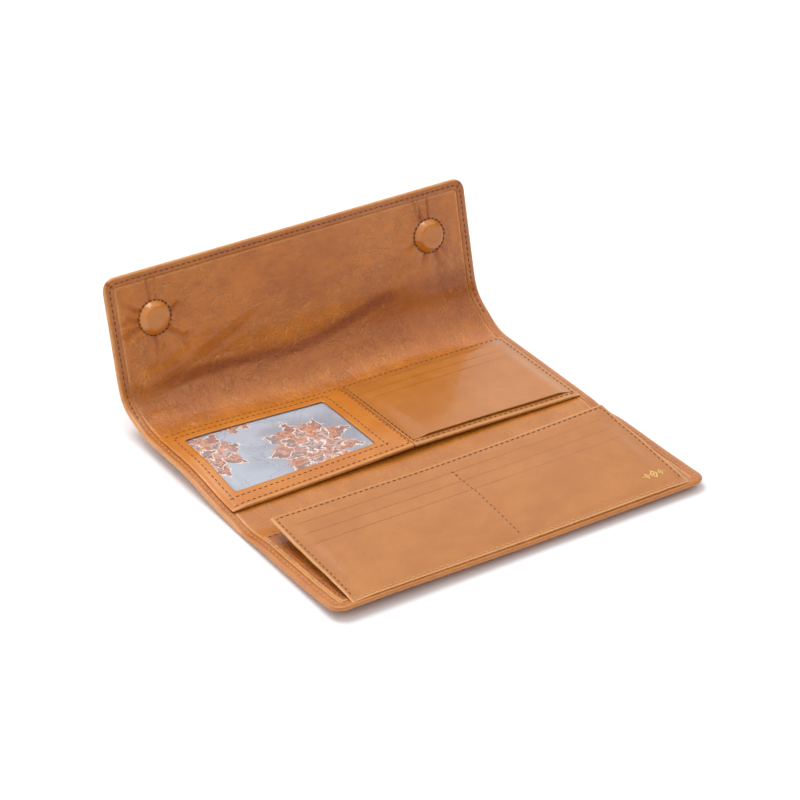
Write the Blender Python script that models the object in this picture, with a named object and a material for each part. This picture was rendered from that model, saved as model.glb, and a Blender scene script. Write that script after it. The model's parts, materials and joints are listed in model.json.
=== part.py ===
"""Long wallet, lying open: a folded leather shell with two card pages and a button flap.

Metres, +Z up, +X along the wallet's length, +Y from the front edge to the back.
The origin is on the table under the middle of the base section. Each section of the
shell hangs on an empty at the crease that it turns about, and each piece is modelled
in that crease's own frame: X along the crease, Y across the section, Z through the wall.
"""
import bpy
import bmesh
from math import cos, pi, radians, sin

# ---- driving sizes ---------------------------------------------------------
WALLET_LENGTH = 0.2032        # side to side
BASE_DEPTH = 0.079            # crease to crease, the middle section
STRIP_DEPTH = 0.014           # the gusset strip that makes the front fold
FOLD_CLEAR = 0.008            # from the folded front section's edge to the spine
FLAP_DEPTH = 0.061            # the closing flap
SPINE_ANGLE = radians(30.0)   # how far the spine leans up from the table
FLAP_ANGLE = radians(43.0)    # how far the flap leans on from the spine

# ---- leather, board and clearances -----------------------------------------
COVER = 0.0009                # outer leather
BOARD = 0.0006                # stiffening board
LINING = 0.0007               # inner leather
SKIN = 0.0006                 # skived leather of a card pocket
PAGE_BACK = 0.0008            # back leather of a page
FABRIC = 0.0004               # printed lining behind the window
VINYL = 0.0003                # clear window sheet
GAP = 0.0003                  # air left between neighbouring pieces
TURN = 0.0051                 # width of the outer leather turned over the edge
CORNER = 0.0065               # corner radius of the shell

WALL = COVER + BOARD + LINING + COVER + 3 * GAP
FRONT_DEPTH = BASE_DEPTH - FOLD_CLEAR
BOARD_Z = COVER + GAP
LINING_Z = BOARD_Z + BOARD + GAP
LINING_TOP = LINING_Z + LINING

# ---- front card page -------------------------------------------------------
FRONT_PAGE_INSET = 0.0094     # from the wallet's side to the page's side
FRONT_PAGE_SEAM = 0.0040      # from the front edge to the page's hinge seam
FRONT_PAGE_CLEAR = 0.0014     # from the page's back edge to the front section's crease
FRONT_PAGE_DEPTH = FRONT_DEPTH - FRONT_PAGE_SEAM - FRONT_PAGE_CLEAR
FRONT_PAGE_RISE = radians(5.6)
SEAM_SKIVE = 0.0015           # the pocket strips stop this short of the hinge seam
SLOT_STEP = 0.0081            # between two card pocket mouths
SLOT_FIRST = 0.0095           # from the page's back edge to its first pocket mouth
SLIP_POCKET_SIDE = 0.0012     # from the turned edge to the slip pocket
SLIP_POCKET_BACK = 0.0016     # from the crease to the slip pocket's mouth

# ---- middle page -----------------------------------------------------------
MIDDLE_PAGE_INSET = 0.0042
MIDDLE_PAGE_SEAM = 0.0075     # from the back crease to the page's hinge seam
MIDDLE_PAGE_CLEAR = 0.0065    # from the front crease to the page's free edge
MIDDLE_PAGE_DEPTH = BASE_DEPTH - MIDDLE_PAGE_SEAM - MIDDLE_PAGE_CLEAR
MIDDLE_PAGE_RISE = radians(2.9)
MIDDLE_SLOT_STEP = 0.0071
MIDDLE_SLOT_FIRST = 0.0050
FRAME_END = 0.1030            # from the wallet's left side to the window frame's right end
WINDOW_LEFT = 0.0125          # the aperture, from the wallet's left side
WINDOW_RIGHT = 0.0885
WINDOW_FRONT = 0.0450         # the aperture's depth from front to back
WINDOW_BACK = 0.0085          # from the page's hinge seam to the aperture
WINDOW_CORNER = 0.0012
WINDOW_LAP = 0.0040           # how far the sheet and the print run under the frame

# ---- button snaps ----------------------------------------------------------
BUTTON_SIDE = 0.0240          # from the wallet's side
BUTTON_TOP = 0.0244           # from the flap's top edge
BUTTON_HEIGHT = 0.0032        # how far the cap stands off the lining
BUTTON_SKIN = 0.0007          # leather over the magnet
BUTTON_WALL = 0.0011          # from the magnet's seat to the edge of the flat face
BUTTON_RIM = 0.0026           # from the flat face to the outside of the stitched ring
BUTTON_CLEAR = 0.0005         # between a closed button and the front section
MAGNET_RADIUS = 0.0048
PLATE_RADIUS = 0.0070         # steel disc behind each magnet, and its receiver
MAGNET_HEIGHT = BUTTON_HEIGHT - BUTTON_SKIN - 2 * GAP
MAGNET_SEAT = MAGNET_RADIUS + GAP
BUTTON_FACE = MAGNET_SEAT + BUTTON_WALL
BUTTON_RING = BUTTON_FACE + BUTTON_RIM
SLOPE_FOOT = 0.0014           # how far the cap's sloping side stands out from its face
SLOPE_TOP = 0.0004            # the rounding at the face's edge

# the spine is as deep as the folded wallet is thick at a closed button
SPINE_DEPTH = STRIP_DEPTH + WALL + BUTTON_HEIGHT - COVER - GAP + BUTTON_CLEAR

HALF = WALLET_LENGTH / 2
THROUGH = 0.001               # how far a cutting tool runs past what it cuts
MITRE = 0.0006                # least radius of an inset corner
PAGE_CORNER = 0.002
ARC_STEPS = 6                 # straight steps in a rounded corner
ROUND_STEPS = 40              # sides of a round piece

collection = bpy.context.scene.collection
for old in list(bpy.data.objects):
    bpy.data.objects.remove(old, do_unlink=True)


def material(name, colour, roughness, metallic=0.0, alpha=1.0):
    made = bpy.data.materials.new(name)
    made.use_nodes = True
    shader = made.node_tree.nodes["Principled BSDF"]
    shader.inputs["Base Color"].default_value = (*colour, 1.0)
    shader.inputs["Roughness"].default_value = roughness
    shader.inputs["Metallic"].default_value = metallic
    shader.inputs["Alpha"].default_value = alpha
    return made


OUTER = material("outer_leather", (0.47, 0.22, 0.07), 0.38)
INNER = material("inner_leather", (0.50, 0.25, 0.08), 0.30)
PAGE = material("page_leather", (0.60, 0.30, 0.12), 0.32)
CARD = material("stiffening_board", (0.55, 0.47, 0.36), 0.85)
PRINT = material("printed_lining", (0.55, 0.55, 0.60), 0.55)
CLEAR = material("clear_vinyl", (0.90, 0.92, 0.95), 0.10, alpha=0.35)
STEEL = material("snap_steel", (0.60, 0.60, 0.62), 0.35, metallic=1.0)
MAGNET = material("magnet_plating", (0.55, 0.54, 0.52), 0.30, metallic=1.0)


def crease(name, parent, location, lean=0.0):
    """An empty on a crease; what hangs on it turns about its X axis."""
    made = bpy.data.objects.new(name, None)
    made.empty_display_size = 0.01
    made.parent = parent
    made.location = location
    made.rotation_euler.x = lean
    collection.objects.link(made)
    return made


def place(name, mesh, parent, surface, smooth=False):
    mesh.materials.append(surface)
    if smooth:
        mesh.shade_smooth()
        mesh.set_sharp_from_angle(angle=radians(30))
    made = bpy.data.objects.new(name, mesh)
    made.parent = parent
    collection.objects.link(made)
    return made


def outline(left, right, near, far, near_radius=0.0, far_radius=0.0):
    """Points round a rectangle in the section's plane, anticlockwise from above."""
    corners = [
        (left, near, near_radius, pi),
        (right, near, near_radius, 1.5 * pi),
        (right, far, far_radius, 0.0),
        (left, far, far_radius, 0.5 * pi),
    ]
    points = []
    for x, y, radius, start in corners:
        if radius <= 0.0:
            points.append((x, y))
            continue
        centre_x = x + radius if x == left else x - radius
        centre_y = y + radius if y == near else y - radius
        for step in range(ARC_STEPS + 1):
            turn = start + 0.5 * pi * step / ARC_STEPS
            points.append((centre_x + radius * cos(turn), centre_y + radius * sin(turn)))
    return points


def slab(name, points, low, high):
    """A closed sheet of the outline, from one height to another."""
    work = bmesh.new()
    lower = [work.verts.new((x, y, low)) for x, y in points]
    upper = [work.verts.new((x, y, high)) for x, y in points]
    work.faces.new(list(reversed(lower)))
    work.faces.new(upper)
    count = len(points)
    for index in range(count):
        after = (index + 1) % count
        work.faces.new((lower[index], lower[after], upper[after], upper[index]))
    mesh = bpy.data.meshes.new(name)
    work.to_mesh(mesh)
    work.free()
    return mesh


def disc(name, radius, low, high, centre):
    x, y = centre
    points = []
    for step in range(ROUND_STEPS):
        turn = 2 * pi * step / ROUND_STEPS
        points.append((x + radius * cos(turn), y + radius * sin(turn)))
    return slab(name, points, low, high)


def cut(target, mesh):
    """Cut a hidden tool's shape out of the target."""
    tool = bpy.data.objects.new(mesh.name, mesh)
    tool.parent = target.parent
    tool.hide_render = True
    tool.display_type = "WIRE"
    collection.objects.link(tool)
    boolean = target.modifiers.new(mesh.name, "BOOLEAN")
    boolean.operation = "DIFFERENCE"
    boolean.solver = "EXACT"
    boolean.object = tool


# ---- the shell: each section is a cover tray, a board and a lining -----------
def shell_outlines(near, far, near_edge, far_edge, inset):
    """The section's outline pulled in by inset on every side that is an open edge.

    An edge that is a crease is left alone, so an inset outline runs through it.
    """
    pulled_near = near + inset if near_edge else near
    pulled_far = far - inset if far_edge else far
    radius = max(CORNER - inset, MITRE)
    return outline(
        -HALF + inset, HALF - inset, pulled_near, pulled_far,
        radius if near_edge else 0.0, radius if far_edge else 0.0,
    )


def cover(name, parent, near, far, near_edge=False, far_edge=False):
    """Outer leather whose sides turn up and over the edge of what it holds."""
    skin = shell_outlines(near, far, near_edge, far_edge, 0.0)
    made = place(name, slab(name, skin, -WALL, 0.0), parent, OUTER)
    reach_near = near if near_edge else near - THROUGH
    reach_far = far if far_edge else far + THROUGH
    pocket = shell_outlines(reach_near, reach_far, near_edge, far_edge, COVER)
    opening = shell_outlines(reach_near, reach_far, near_edge, far_edge, TURN)
    cut(made, slab(name + "_pocket_tool", pocket, -WALL + COVER, -COVER))
    cut(made, slab(name + "_mouth_tool", opening, -WALL + COVER + GAP, THROUGH))
    return made


def layer(name, parent, near, far, low, thick, surface, near_edge=False, far_edge=False):
    """A sheet held inside the cover, clear of its turned edge."""
    inside = shell_outlines(near, far, near_edge, far_edge, COVER + GAP)
    return place(name, slab(name, inside, low - WALL, low + thick - WALL), parent, surface)


END = GAP / 2                     # each section stops short of its crease

base_frame = crease("base_frame", None, (0.0, 0.0, WALL))
front_crease_y = -BASE_DEPTH / 2
back_crease_y = BASE_DEPTH / 2
base_near = front_crease_y + END
base_far = back_crease_y - END
cover("base_cover", base_frame, base_near, base_far)
layer("base_board", base_frame, base_near, base_far, BOARD_Z, BOARD, CARD)
layer("base_lining", base_frame, base_near, base_far, LINING_Z, LINING, INNER)

strip_axis = crease("strip_axis", base_frame, (0.0, front_crease_y, 0.0))
strip_near = -STRIP_DEPTH + END
cover("strip_cover", strip_axis, strip_near, -END)
layer("strip_lining", strip_axis, strip_near, -END, LINING_Z, LINING, INNER)

front_axis = crease("front_axis", strip_axis, (0.0, -STRIP_DEPTH, 0.0))
cover("front_cover", front_axis, -FRONT_DEPTH, -END, near_edge=True)
front_board = layer("front_board", front_axis, -FRONT_DEPTH, -END, BOARD_Z, BOARD, CARD, near_edge=True)
layer("front_lining", front_axis, -FRONT_DEPTH, -END, LINING_Z, LINING, INNER, near_edge=True)

spine_axis = crease("spine_axis", base_frame, (0.0, back_crease_y, 0.0), SPINE_ANGLE)
cover("spine_cover", spine_axis, END, SPINE_DEPTH - END)
layer("spine_lining", spine_axis, END, SPINE_DEPTH - END, LINING_Z, LINING, INNER)

flap_axis = crease("flap_axis", spine_axis, (0.0, SPINE_DEPTH, 0.0), FLAP_ANGLE)
cover("flap_cover", flap_axis, END, FLAP_DEPTH, far_edge=True)
flap_board = layer("flap_board", flap_axis, END, FLAP_DEPTH, BOARD_Z, BOARD, CARD, far_edge=True)
layer("flap_lining", flap_axis, END, FLAP_DEPTH, LINING_Z, LINING, INNER, far_edge=True)

# ---- slip pocket on the front section's inner side ---------------------------
pocket_side = TURN + SLIP_POCKET_SIDE
slip_low = LINING_TOP + GAP - WALL
slip_pocket = outline(
    -HALF + pocket_side, HALF - pocket_side,
    -FRONT_DEPTH + TURN + GAP, -SLIP_POCKET_BACK,
)
place("slip_pocket", slab("slip_pocket", slip_pocket, slip_low, slip_low + SKIN), front_axis, INNER)


# ---- card pages -------------------------------------------------------------
def pocket_stack(prefix, parent, left, right, near, far, mouth_at, step):
    """Three card pocket strips, each one lower and shorter than the one behind it."""
    for index, word in enumerate(("back", "middle", "front")):
        mouth = far - mouth_at - index * step
        bottom = PAGE_BACK + GAP + index * (SKIN + GAP)
        name = f"{prefix}_pocket_{word}"
        strip = slab(name, outline(left, right, near, mouth), bottom, bottom + SKIN)
        place(name, strip, parent, PAGE)


front_page_axis = crease(
    "front_page_axis", front_axis,
    (0.0, -FRONT_DEPTH + FRONT_PAGE_SEAM, GAP), FRONT_PAGE_RISE,
)
page_left = -HALF + FRONT_PAGE_INSET
page_right = HALF - FRONT_PAGE_INSET
front_back = outline(page_left, page_right, END, FRONT_PAGE_DEPTH, 0.0, PAGE_CORNER)
place(
    "front_page_back",
    slab("front_page_back", front_back, 0.0, PAGE_BACK),
    front_page_axis, PAGE,
)
pocket_stack(
    "front", front_page_axis, page_left, page_right, END + SEAM_SKIVE, FRONT_PAGE_DEPTH,
    SLOT_FIRST, SLOT_STEP,
)

middle_page_axis = crease(
    "middle_page_axis", base_frame,
    (0.0, back_crease_y - MIDDLE_PAGE_SEAM, GAP), -MIDDLE_PAGE_RISE,
)
middle_left = -HALF + MIDDLE_PAGE_INSET
middle_right = HALF - MIDDLE_PAGE_INSET
frame_right = -HALF + FRAME_END
middle_back = outline(middle_left, middle_right, -MIDDLE_PAGE_DEPTH, -END)
place(
    "middle_page_back",
    slab("middle_page_back", middle_back, 0.0, PAGE_BACK),
    middle_page_axis, PAGE,
)
pocket_stack(
    "middle", middle_page_axis, frame_right + GAP, middle_right, -MIDDLE_PAGE_DEPTH, -END,
    MIDDLE_SLOT_FIRST, MIDDLE_SLOT_STEP,
)

aperture_far = -WINDOW_BACK
aperture_near = aperture_far - WINDOW_FRONT
aperture_left = -HALF + WINDOW_LEFT
aperture_right = -HALF + WINDOW_RIGHT
behind_window = outline(
    aperture_left - WINDOW_LAP, aperture_right + WINDOW_LAP,
    aperture_near - WINDOW_LAP, aperture_far + WINDOW_LAP,
)
print_low = PAGE_BACK + GAP
sheet_low = print_low + FABRIC + GAP
frame_low = sheet_low + VINYL + GAP
place(
    "printed_lining",
    slab("printed_lining", behind_window, print_low, print_low + FABRIC),
    middle_page_axis, PRINT,
)
place(
    "window_sheet",
    slab("window_sheet", behind_window, sheet_low, sheet_low + VINYL),
    middle_page_axis, CLEAR,
)
frame_points = outline(middle_left, frame_right, -MIDDLE_PAGE_DEPTH, -END)
window_frame = place(
    "window_frame",
    slab("window_frame", frame_points, frame_low, frame_low + SKIN),
    middle_page_axis, PAGE,
)
aperture = outline(
    aperture_left, aperture_right, aperture_near, aperture_far, WINDOW_CORNER, WINDOW_CORNER,
)
cut(window_frame, slab("aperture_tool", aperture, frame_low - THROUGH, frame_low + SKIN + THROUGH))

# ---- magnetic buttons -------------------------------------------------------
flap_lining_top = LINING_TOP - WALL
board_low = BOARD_Z - WALL


def turned_cap(name, centre):
    """A leather-covered cap: a flat ring, a sloping side and a flat face, hollow inside."""
    ring_top = flap_lining_top + GAP + BUTTON_SKIN
    face_top = flap_lining_top + BUTTON_HEIGHT
    bottom = flap_lining_top + GAP
    profile = [
        (MAGNET_SEAT, bottom),
        (BUTTON_RING, bottom),
        (BUTTON_RING, ring_top),
        (BUTTON_FACE + SLOPE_FOOT, ring_top + SLOPE_TOP),
        (BUTTON_FACE + SLOPE_TOP, face_top - SLOPE_TOP),
        (BUTTON_FACE - SLOPE_TOP, face_top),
        (0.0, face_top),
        (0.0, face_top - BUTTON_SKIN),
        (MAGNET_SEAT, face_top - BUTTON_SKIN),
    ]
    work = bmesh.new()
    rings = []
    for radius, height in profile:
        if radius == 0.0:
            rings.append([work.verts.new((centre[0], centre[1], height))])
            continue
        ring = []
        for step in range(ROUND_STEPS):
            turn = 2 * pi * step / ROUND_STEPS
            x = centre[0] + radius * cos(turn)
            y = centre[1] + radius * sin(turn)
            ring.append(work.verts.new((x, y, height)))
        rings.append(ring)
    for index, ring in enumerate(rings):
        other = rings[(index + 1) % len(rings)]
        if len(ring) == 1 and len(other) == 1:
            continue
        for step in range(ROUND_STEPS):
            after = (step + 1) % ROUND_STEPS
            if len(ring) == 1:
                work.faces.new((ring[0], other[after], other[step]))
            elif len(other) == 1:
                work.faces.new((ring[step], ring[after], other[0]))
            else:
                work.faces.new((ring[step], ring[after], other[after], other[step]))
    bmesh.ops.recalc_face_normals(work, faces=work.faces)
    mesh = bpy.data.meshes.new(name)
    work.to_mesh(mesh)
    work.free()
    return mesh


def board_hole(name, centre):
    """A tool that clears a stiffening board round a steel disc."""
    low = board_low - THROUGH
    high = board_low + BOARD + THROUGH
    return disc(name + "_hole_tool", PLATE_RADIUS + GAP, low, high, centre)


# a receiver lies under its button once the flap is closed on the folded front section
closed_reach = BASE_DEPTH - FLAP_DEPTH + BUTTON_TOP
receiver_y = -closed_reach
for side, word in ((-1, "left"), (1, "right")):
    button_x = side * (HALF - BUTTON_SIDE)
    button_centre = (button_x, FLAP_DEPTH - BUTTON_TOP)
    cap_name = "button_cap_" + word
    place(cap_name, turned_cap(cap_name, button_centre), flap_axis, OUTER, smooth=True)
    magnet_name = "button_magnet_" + word
    magnet_low = flap_lining_top + GAP
    magnet = disc(magnet_name, MAGNET_RADIUS, magnet_low, magnet_low + MAGNET_HEIGHT, button_centre)
    place(magnet_name, magnet, flap_axis, MAGNET, smooth=True)
    plate_name = "button_plate_" + word
    plate = disc(plate_name, PLATE_RADIUS, board_low, board_low + BOARD, button_centre)
    place(plate_name, plate, flap_axis, STEEL, smooth=True)
    cut(flap_board, board_hole(plate_name, button_centre))
    receiver_name = "receiver_" + word
    receiver_centre = (button_x, receiver_y)
    receiver = disc(receiver_name, PLATE_RADIUS, board_low, board_low + BOARD, receiver_centre)
    place(receiver_name, receiver, front_axis, STEEL, smooth=True)
    cut(front_board, board_hole(receiver_name, receiver_centre))
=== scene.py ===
# %% [markdown]
# # A long leather wallet, lying open
# The frame gives the real sizes, the creases and the moving bodies. This file only
# dresses it: glazed leather over the shell, two pages, a window, buttons and thread.

# %% Load the frame
import bpy
import bmesh
import json
from math import asin, atan2, ceil, cos, exp, hypot, pi, radians, sin, tan
from mathutils import Matrix, Vector, noise


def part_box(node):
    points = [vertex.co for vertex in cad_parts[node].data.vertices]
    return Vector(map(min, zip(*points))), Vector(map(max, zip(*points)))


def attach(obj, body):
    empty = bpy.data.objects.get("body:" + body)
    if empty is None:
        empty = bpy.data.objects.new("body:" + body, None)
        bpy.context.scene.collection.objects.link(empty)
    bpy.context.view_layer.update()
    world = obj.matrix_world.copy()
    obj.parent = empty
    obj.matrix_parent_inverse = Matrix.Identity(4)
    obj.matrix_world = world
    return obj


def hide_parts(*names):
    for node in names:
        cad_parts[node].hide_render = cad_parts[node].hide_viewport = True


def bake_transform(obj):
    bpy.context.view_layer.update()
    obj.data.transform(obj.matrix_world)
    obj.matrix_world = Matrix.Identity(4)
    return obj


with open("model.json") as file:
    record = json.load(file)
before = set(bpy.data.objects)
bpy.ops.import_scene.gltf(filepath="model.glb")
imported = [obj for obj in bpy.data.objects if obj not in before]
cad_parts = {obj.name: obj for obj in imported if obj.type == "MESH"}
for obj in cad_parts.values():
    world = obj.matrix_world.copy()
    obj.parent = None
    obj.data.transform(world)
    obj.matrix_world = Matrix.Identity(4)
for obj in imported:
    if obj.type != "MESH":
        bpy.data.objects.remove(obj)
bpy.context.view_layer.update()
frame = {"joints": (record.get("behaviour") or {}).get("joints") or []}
joints = {joint["name"]: joint for joint in frame["joints"]}
MM = 0.001


def in_mm(pairs):
    """Pairs of millimetres as metres."""
    return [(first * MM, second * MM) for first, second in pairs]


def add_object(name, mesh, finish):
    """An object in the scene for a finished mesh."""
    made = bpy.data.objects.new(name, mesh)
    bpy.context.scene.collection.objects.link(made)
    mesh.materials.append(finish)
    return made


def riding(body):
    """The way a stiff piece goes with one body."""
    return lambda piece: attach(piece, body)


def dress(piece, bend, slot, *stands_for):
    """Carry the piece with its body or bake its placement, and hide the nodes it stands for; the
    slot is not used.
    """
    bend(piece)
    if stands_for:
        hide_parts(*stands_for)


# %% [markdown]
# ## Sizes
# Everything is placed from the frame: the wall's thickness, the four creases and the two
# seams that the pages turn on. Working in the wall's own flat plan, x along the wallet and
# v from front to back, lets one pattern be cut flat and then bent, as a leather worker does.

# %% Sizes and creases
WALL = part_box("base_cover")[1].z
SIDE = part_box("base_cover")[1].x
FRONT_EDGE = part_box("front_cover")[0].y
STRIP_CREASE = joints["strip_crease"]["pos_m"][1]
FRONT_CREASE = joints["front_crease"]["pos_m"][1]
SPINE_CREASE = joints["spine_crease"]["pos_m"][1]
spine_end = joints["flap_crease"]["pos_m"]
SPINE_DEPTH = hypot(spine_end[1] - SPINE_CREASE, spine_end[2] - WALL)
SPINE_LEAN = atan2(spine_end[2] - WALL, spine_end[1] - SPINE_CREASE)
FLAP_CREASE = SPINE_CREASE + SPINE_DEPTH
flap_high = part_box("flap_cover")[1]
flap_joint = joints["flap_crease"]
FLAP_LEAN = SPINE_LEAN - radians(flap_joint["range_deg"][0])
FLAP_DEPTH = (flap_high.z - spine_end[2]) / sin(FLAP_LEAN)
FLAP_EDGE = FLAP_CREASE + FLAP_DEPTH
TURNED_EDGE = 5.1 * MM
SHELL_CORNER = 6.5 * MM
STITCH_INSET = 2.9 * MM
FINE_THREAD = 0.22 * MM
MID_STRIP = (STRIP_CREASE + FRONT_CREASE) / 2
MID_SPINE = SPINE_CREASE + SPINE_DEPTH / 2
MID_BASE = -10.0 * MM
print("flap depth", round(FLAP_DEPTH / MM, 1), "spine", round(SPINE_DEPTH / MM, 1))


# %% [markdown]
# ## From flat pattern to bent wall
# Leather doesn't fold to a sharp corner, so each crease is an arc whose ends run straight on
# into the sections. A point of the wall is its place in the flat plan and its height above
# the outer face; one function turns that into a point in space, for every piece on the wall.

# %% The bent wall
CREASE_REACH = 9.0 * MM
FLAP_REACH = 11.0 * MM
BEND_STEP = 0.25 * MM
BEND_START = SPINE_CREASE - 12.0 * MM


def ripple(x, y, z):
    """Smooth seeded noise between about -1 and 1."""
    return noise.noise(Vector((x, y, z)))


def smooth(value):
    """0 below 0, 1 above 1, and a soft step between."""
    value = min(max(value, 0.0), 1.0)
    return value * value * (3.0 - 2.0 * value)


def lean_at(v, belly):
    """Lean of the wall at plan depth v; with belly 1 the flap's bend runs further up."""
    spine = SPINE_LEAN * smooth((v - SPINE_CREASE + CREASE_REACH) / (2 * CREASE_REACH))
    tight = smooth((v - FLAP_CREASE + 9.0 * MM) / (20.0 * MM))
    loose = 0.70 * smooth((v - FLAP_CREASE + 11.0 * MM) / (21.0 * MM))
    loose += 0.30 * smooth((v - FLAP_CREASE - 7.0 * MM) / (20.0 * MM))
    return spine + (FLAP_LEAN - SPINE_LEAN) * (tight + (loose - tight) * belly)


def bend_profile(belly):
    """The profile walked from the base to the flap's edge, as (y, z, lean) rows."""
    rows = []
    y, z, v = BEND_START, WALL, BEND_START
    while v < FLAP_EDGE + 8.0 * MM:
        lean = lean_at(v, belly)
        rows.append((y, z, lean))
        y += BEND_STEP * cos(lean)
        z += BEND_STEP * sin(lean)
        v += BEND_STEP
    return rows


PROFILES = [bend_profile(0.0), bend_profile(1.0)]
tip_row = int((FLAP_EDGE - BEND_START) / BEND_STEP)
flap_tip = spine_end[1] + FLAP_DEPTH * cos(FLAP_LEAN), spine_end[2] + FLAP_DEPTH * sin(FLAP_LEAN)
tip_errors = [
    [round((rows[tip_row][i] - flap_tip[i]) / MM, 1) for i in (0, 1)] for rows in PROFILES
]
print("tip off the frame by mm:", tip_errors)


def belly_at(x):
    """The flap bellies most in mid-width; its sewn sides bend tightly."""
    return smooth((x + 92.0 * MM) / (62.0 * MM)) * (1.0 - smooth((x - 46.0 * MM) / (36.0 * MM)))


def wall_line(v, x=0.0):
    """Place and lean of the wall's inner face at plan depth v, its tip kept on the frame's."""
    if v <= BEND_START:
        return v, WALL, 0.0
    place = (v - BEND_START) / BEND_STEP
    row = min(int(place), len(PROFILES[0]) - 2)
    share = place - row
    found = []
    for profile in PROFILES:
        here = [a + (b - a) * share for a, b in zip(profile[row], profile[row + 1])]
        pull = max(v - FLAP_CREASE, 0.0) / FLAP_DEPTH
        for axis in (0, 1):
            here[axis] += (flap_tip[axis] - profile[tip_row][axis]) * pull ** 1.5
        found.append(here)
    belly = belly_at(x)
    return tuple(a + (b - a) * belly for a, b in zip(*found))


def settle(x, v):
    """How far the worn wallet stands off the table: a curled corner and an arched left side."""
    left = smooth((10.0 * MM - x) / (100.0 * MM))
    from_front = v - FRONT_EDGE
    corner = 3.2 * MM * exp(-max(from_front, 0.0) / (15.0 * MM)) * left
    corner += 1.6 * MM * exp(-max(from_front, 0.0) / (22.0 * MM)) * (1.0 - left)
    arch = 4.0 * MM * left * smooth((from_front - 92.0 * MM) / (42.0 * MM))
    return corner + arch * (1.0 - smooth((from_front - 158.0 * MM) / (30.0 * MM)))


def right_sink(x, v):
    """The base lies thinner towards its right side."""
    from_front = v - FRONT_EDGE
    along = smooth((from_front - 84.0 * MM) / (10.0 * MM))
    along *= 1.0 - smooth((from_front - 160.0 * MM) / (15.0 * MM))
    return 0.7 * MM * smooth((x - 40.0 * MM) / (50.0 * MM)) * along


def fold_thin(x, v):
    """The fold strip has no board, so the wall thins to a soft valley there."""
    near = (v - MID_STRIP) / (10.0 * MM)
    return 1.0 - 0.42 * exp(-near * near) - right_sink(x, v) / WALL


def on_wall(x, v, height):
    """Height is from the outer face, 0, to the turned edge on the inner face, WALL."""
    y, z, lean = wall_line(v, x)
    rise = height * fold_thin(x, v) - WALL
    return Vector((x, y - rise * sin(lean), z + rise * cos(lean) + settle(x, v)))


# %% [markdown]
# ## Cutting a piece of leather
# A leather piece is a closed sheet. Its face is a grid, and round each finished edge runs a
# profile of (inset, height) steps, so that an edge can be rolled, stitched down or cut. The
# flat plan is stored on every point, so grain stays with the leather when it bends.

# %% Pattern cutter
CORNER_STEPS = 8
UNWORN = 9.0 * MM    # a distance from the edge that shows no rubbing


def spread(low, high, pitch):
    """Grid lines from low to high, about a pitch apart."""
    count = max(1, ceil((high - low) / pitch))
    return [low + (high - low) * step / count for step in range(count + 1)]


def stretch_lines(lines, low, high):
    span = lines[-1] - lines[0]
    return [low + (high - low) * (line - lines[0]) / span for line in lines]


def drawn_in(left, right, near, far, sides, inset):
    """The four limits, with the finished sides drawn in by an inset."""
    ends = ((left, "L", 1), (right, "R", -1), (near, "N", 1), (far, "F", -1))
    return [limit + (way * inset if side in sides else 0.0) for limit, side, way in ends]


def edge_ring(plan, inset):
    """The plan's outline at one inset, as points and the side that each stretch is on."""
    open_sides = plan["sides"]
    limits = (plan[word] for word in ("left", "right", "near", "far"))
    left, right, near, far = drawn_in(*limits, open_sides, inset)
    rounding = max(plan["corner"] - inset, 0.0)

    def corner(pair):
        return rounding if all(side in open_sides for side in pair) else 0.0

    near_left, far_left = corner("LN"), corner("LF")
    near_right, far_right = corner("RN"), corner("RF")
    points = []

    def run(pairs, side):
        for step, point in enumerate(pairs):
            points.append((point, side if step < len(pairs) - 1 else "corner"))

    def arc(centre, radius, start, pair):
        if not all(side in open_sides for side in pair):
            points[-1] = (points[-1][0], "skip")
            return
        for step in range(1, CORNER_STEPS):
            turn = start - 0.5 * pi * step / CORNER_STEPS
            place = (centre[0] + radius * cos(turn), centre[1] + radius * sin(turn))
            points.append((place, "corner"))

    rows = stretch_lines(plan["rows"], near + near_left, far - far_left)
    run([(left, v) for v in rows], "L")
    arc((left + far_left, far - far_left), far_left, pi, "LF")
    columns = stretch_lines(plan["columns"], left + far_left, right - far_right)
    run([(x, far) for x in columns], "F")
    arc((right - far_right, far - far_right), far_right, pi / 2, "RF")
    rows = stretch_lines(plan["rows"], near + near_right, far - far_right)
    run([(right, v) for v in reversed(rows)], "R")
    arc((right - near_right, near + near_right), near_right, 0.0, "RN")
    columns = stretch_lines(plan["columns"], left + near_left, right - near_right)
    run([(x, near) for x in reversed(columns)], "N")
    arc((left + near_left, near + near_left), near_left, -pi / 2, "LN")
    return points


def hole_ring(hole, gap):
    """The outline round an opening, a gap outside its cut edge."""
    left, right = hole["left"] - gap, hole["right"] + gap
    near, far = hole["near"] - gap, hole["far"] + gap
    radius = hole["corner"] * (1.0 - gap / hole["margin"])
    points = []
    columns = stretch_lines(hole["columns"], left + radius, right - radius)
    rows = stretch_lines(hole["rows"], near + radius, far - radius)
    corners = [
        ([(x, near) for x in columns], (right - radius, near + radius), -pi / 2),
        ([(right, v) for v in rows], (right - radius, far - radius), 0.0),
        ([(x, far) for x in reversed(columns)], (left + radius, far - radius), pi / 2),
        ([(left, v) for v in reversed(rows)], (left + radius, near + radius), pi),
    ]
    for pairs, centre, start in corners:
        points.extend(pairs)
        for step in range(1, CORNER_STEPS):
            turn = start + 0.5 * pi * step / CORNER_STEPS
            points.append((centre[0] + radius * cos(turn), centre[1] + radius * sin(turn)))
    return points


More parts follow.
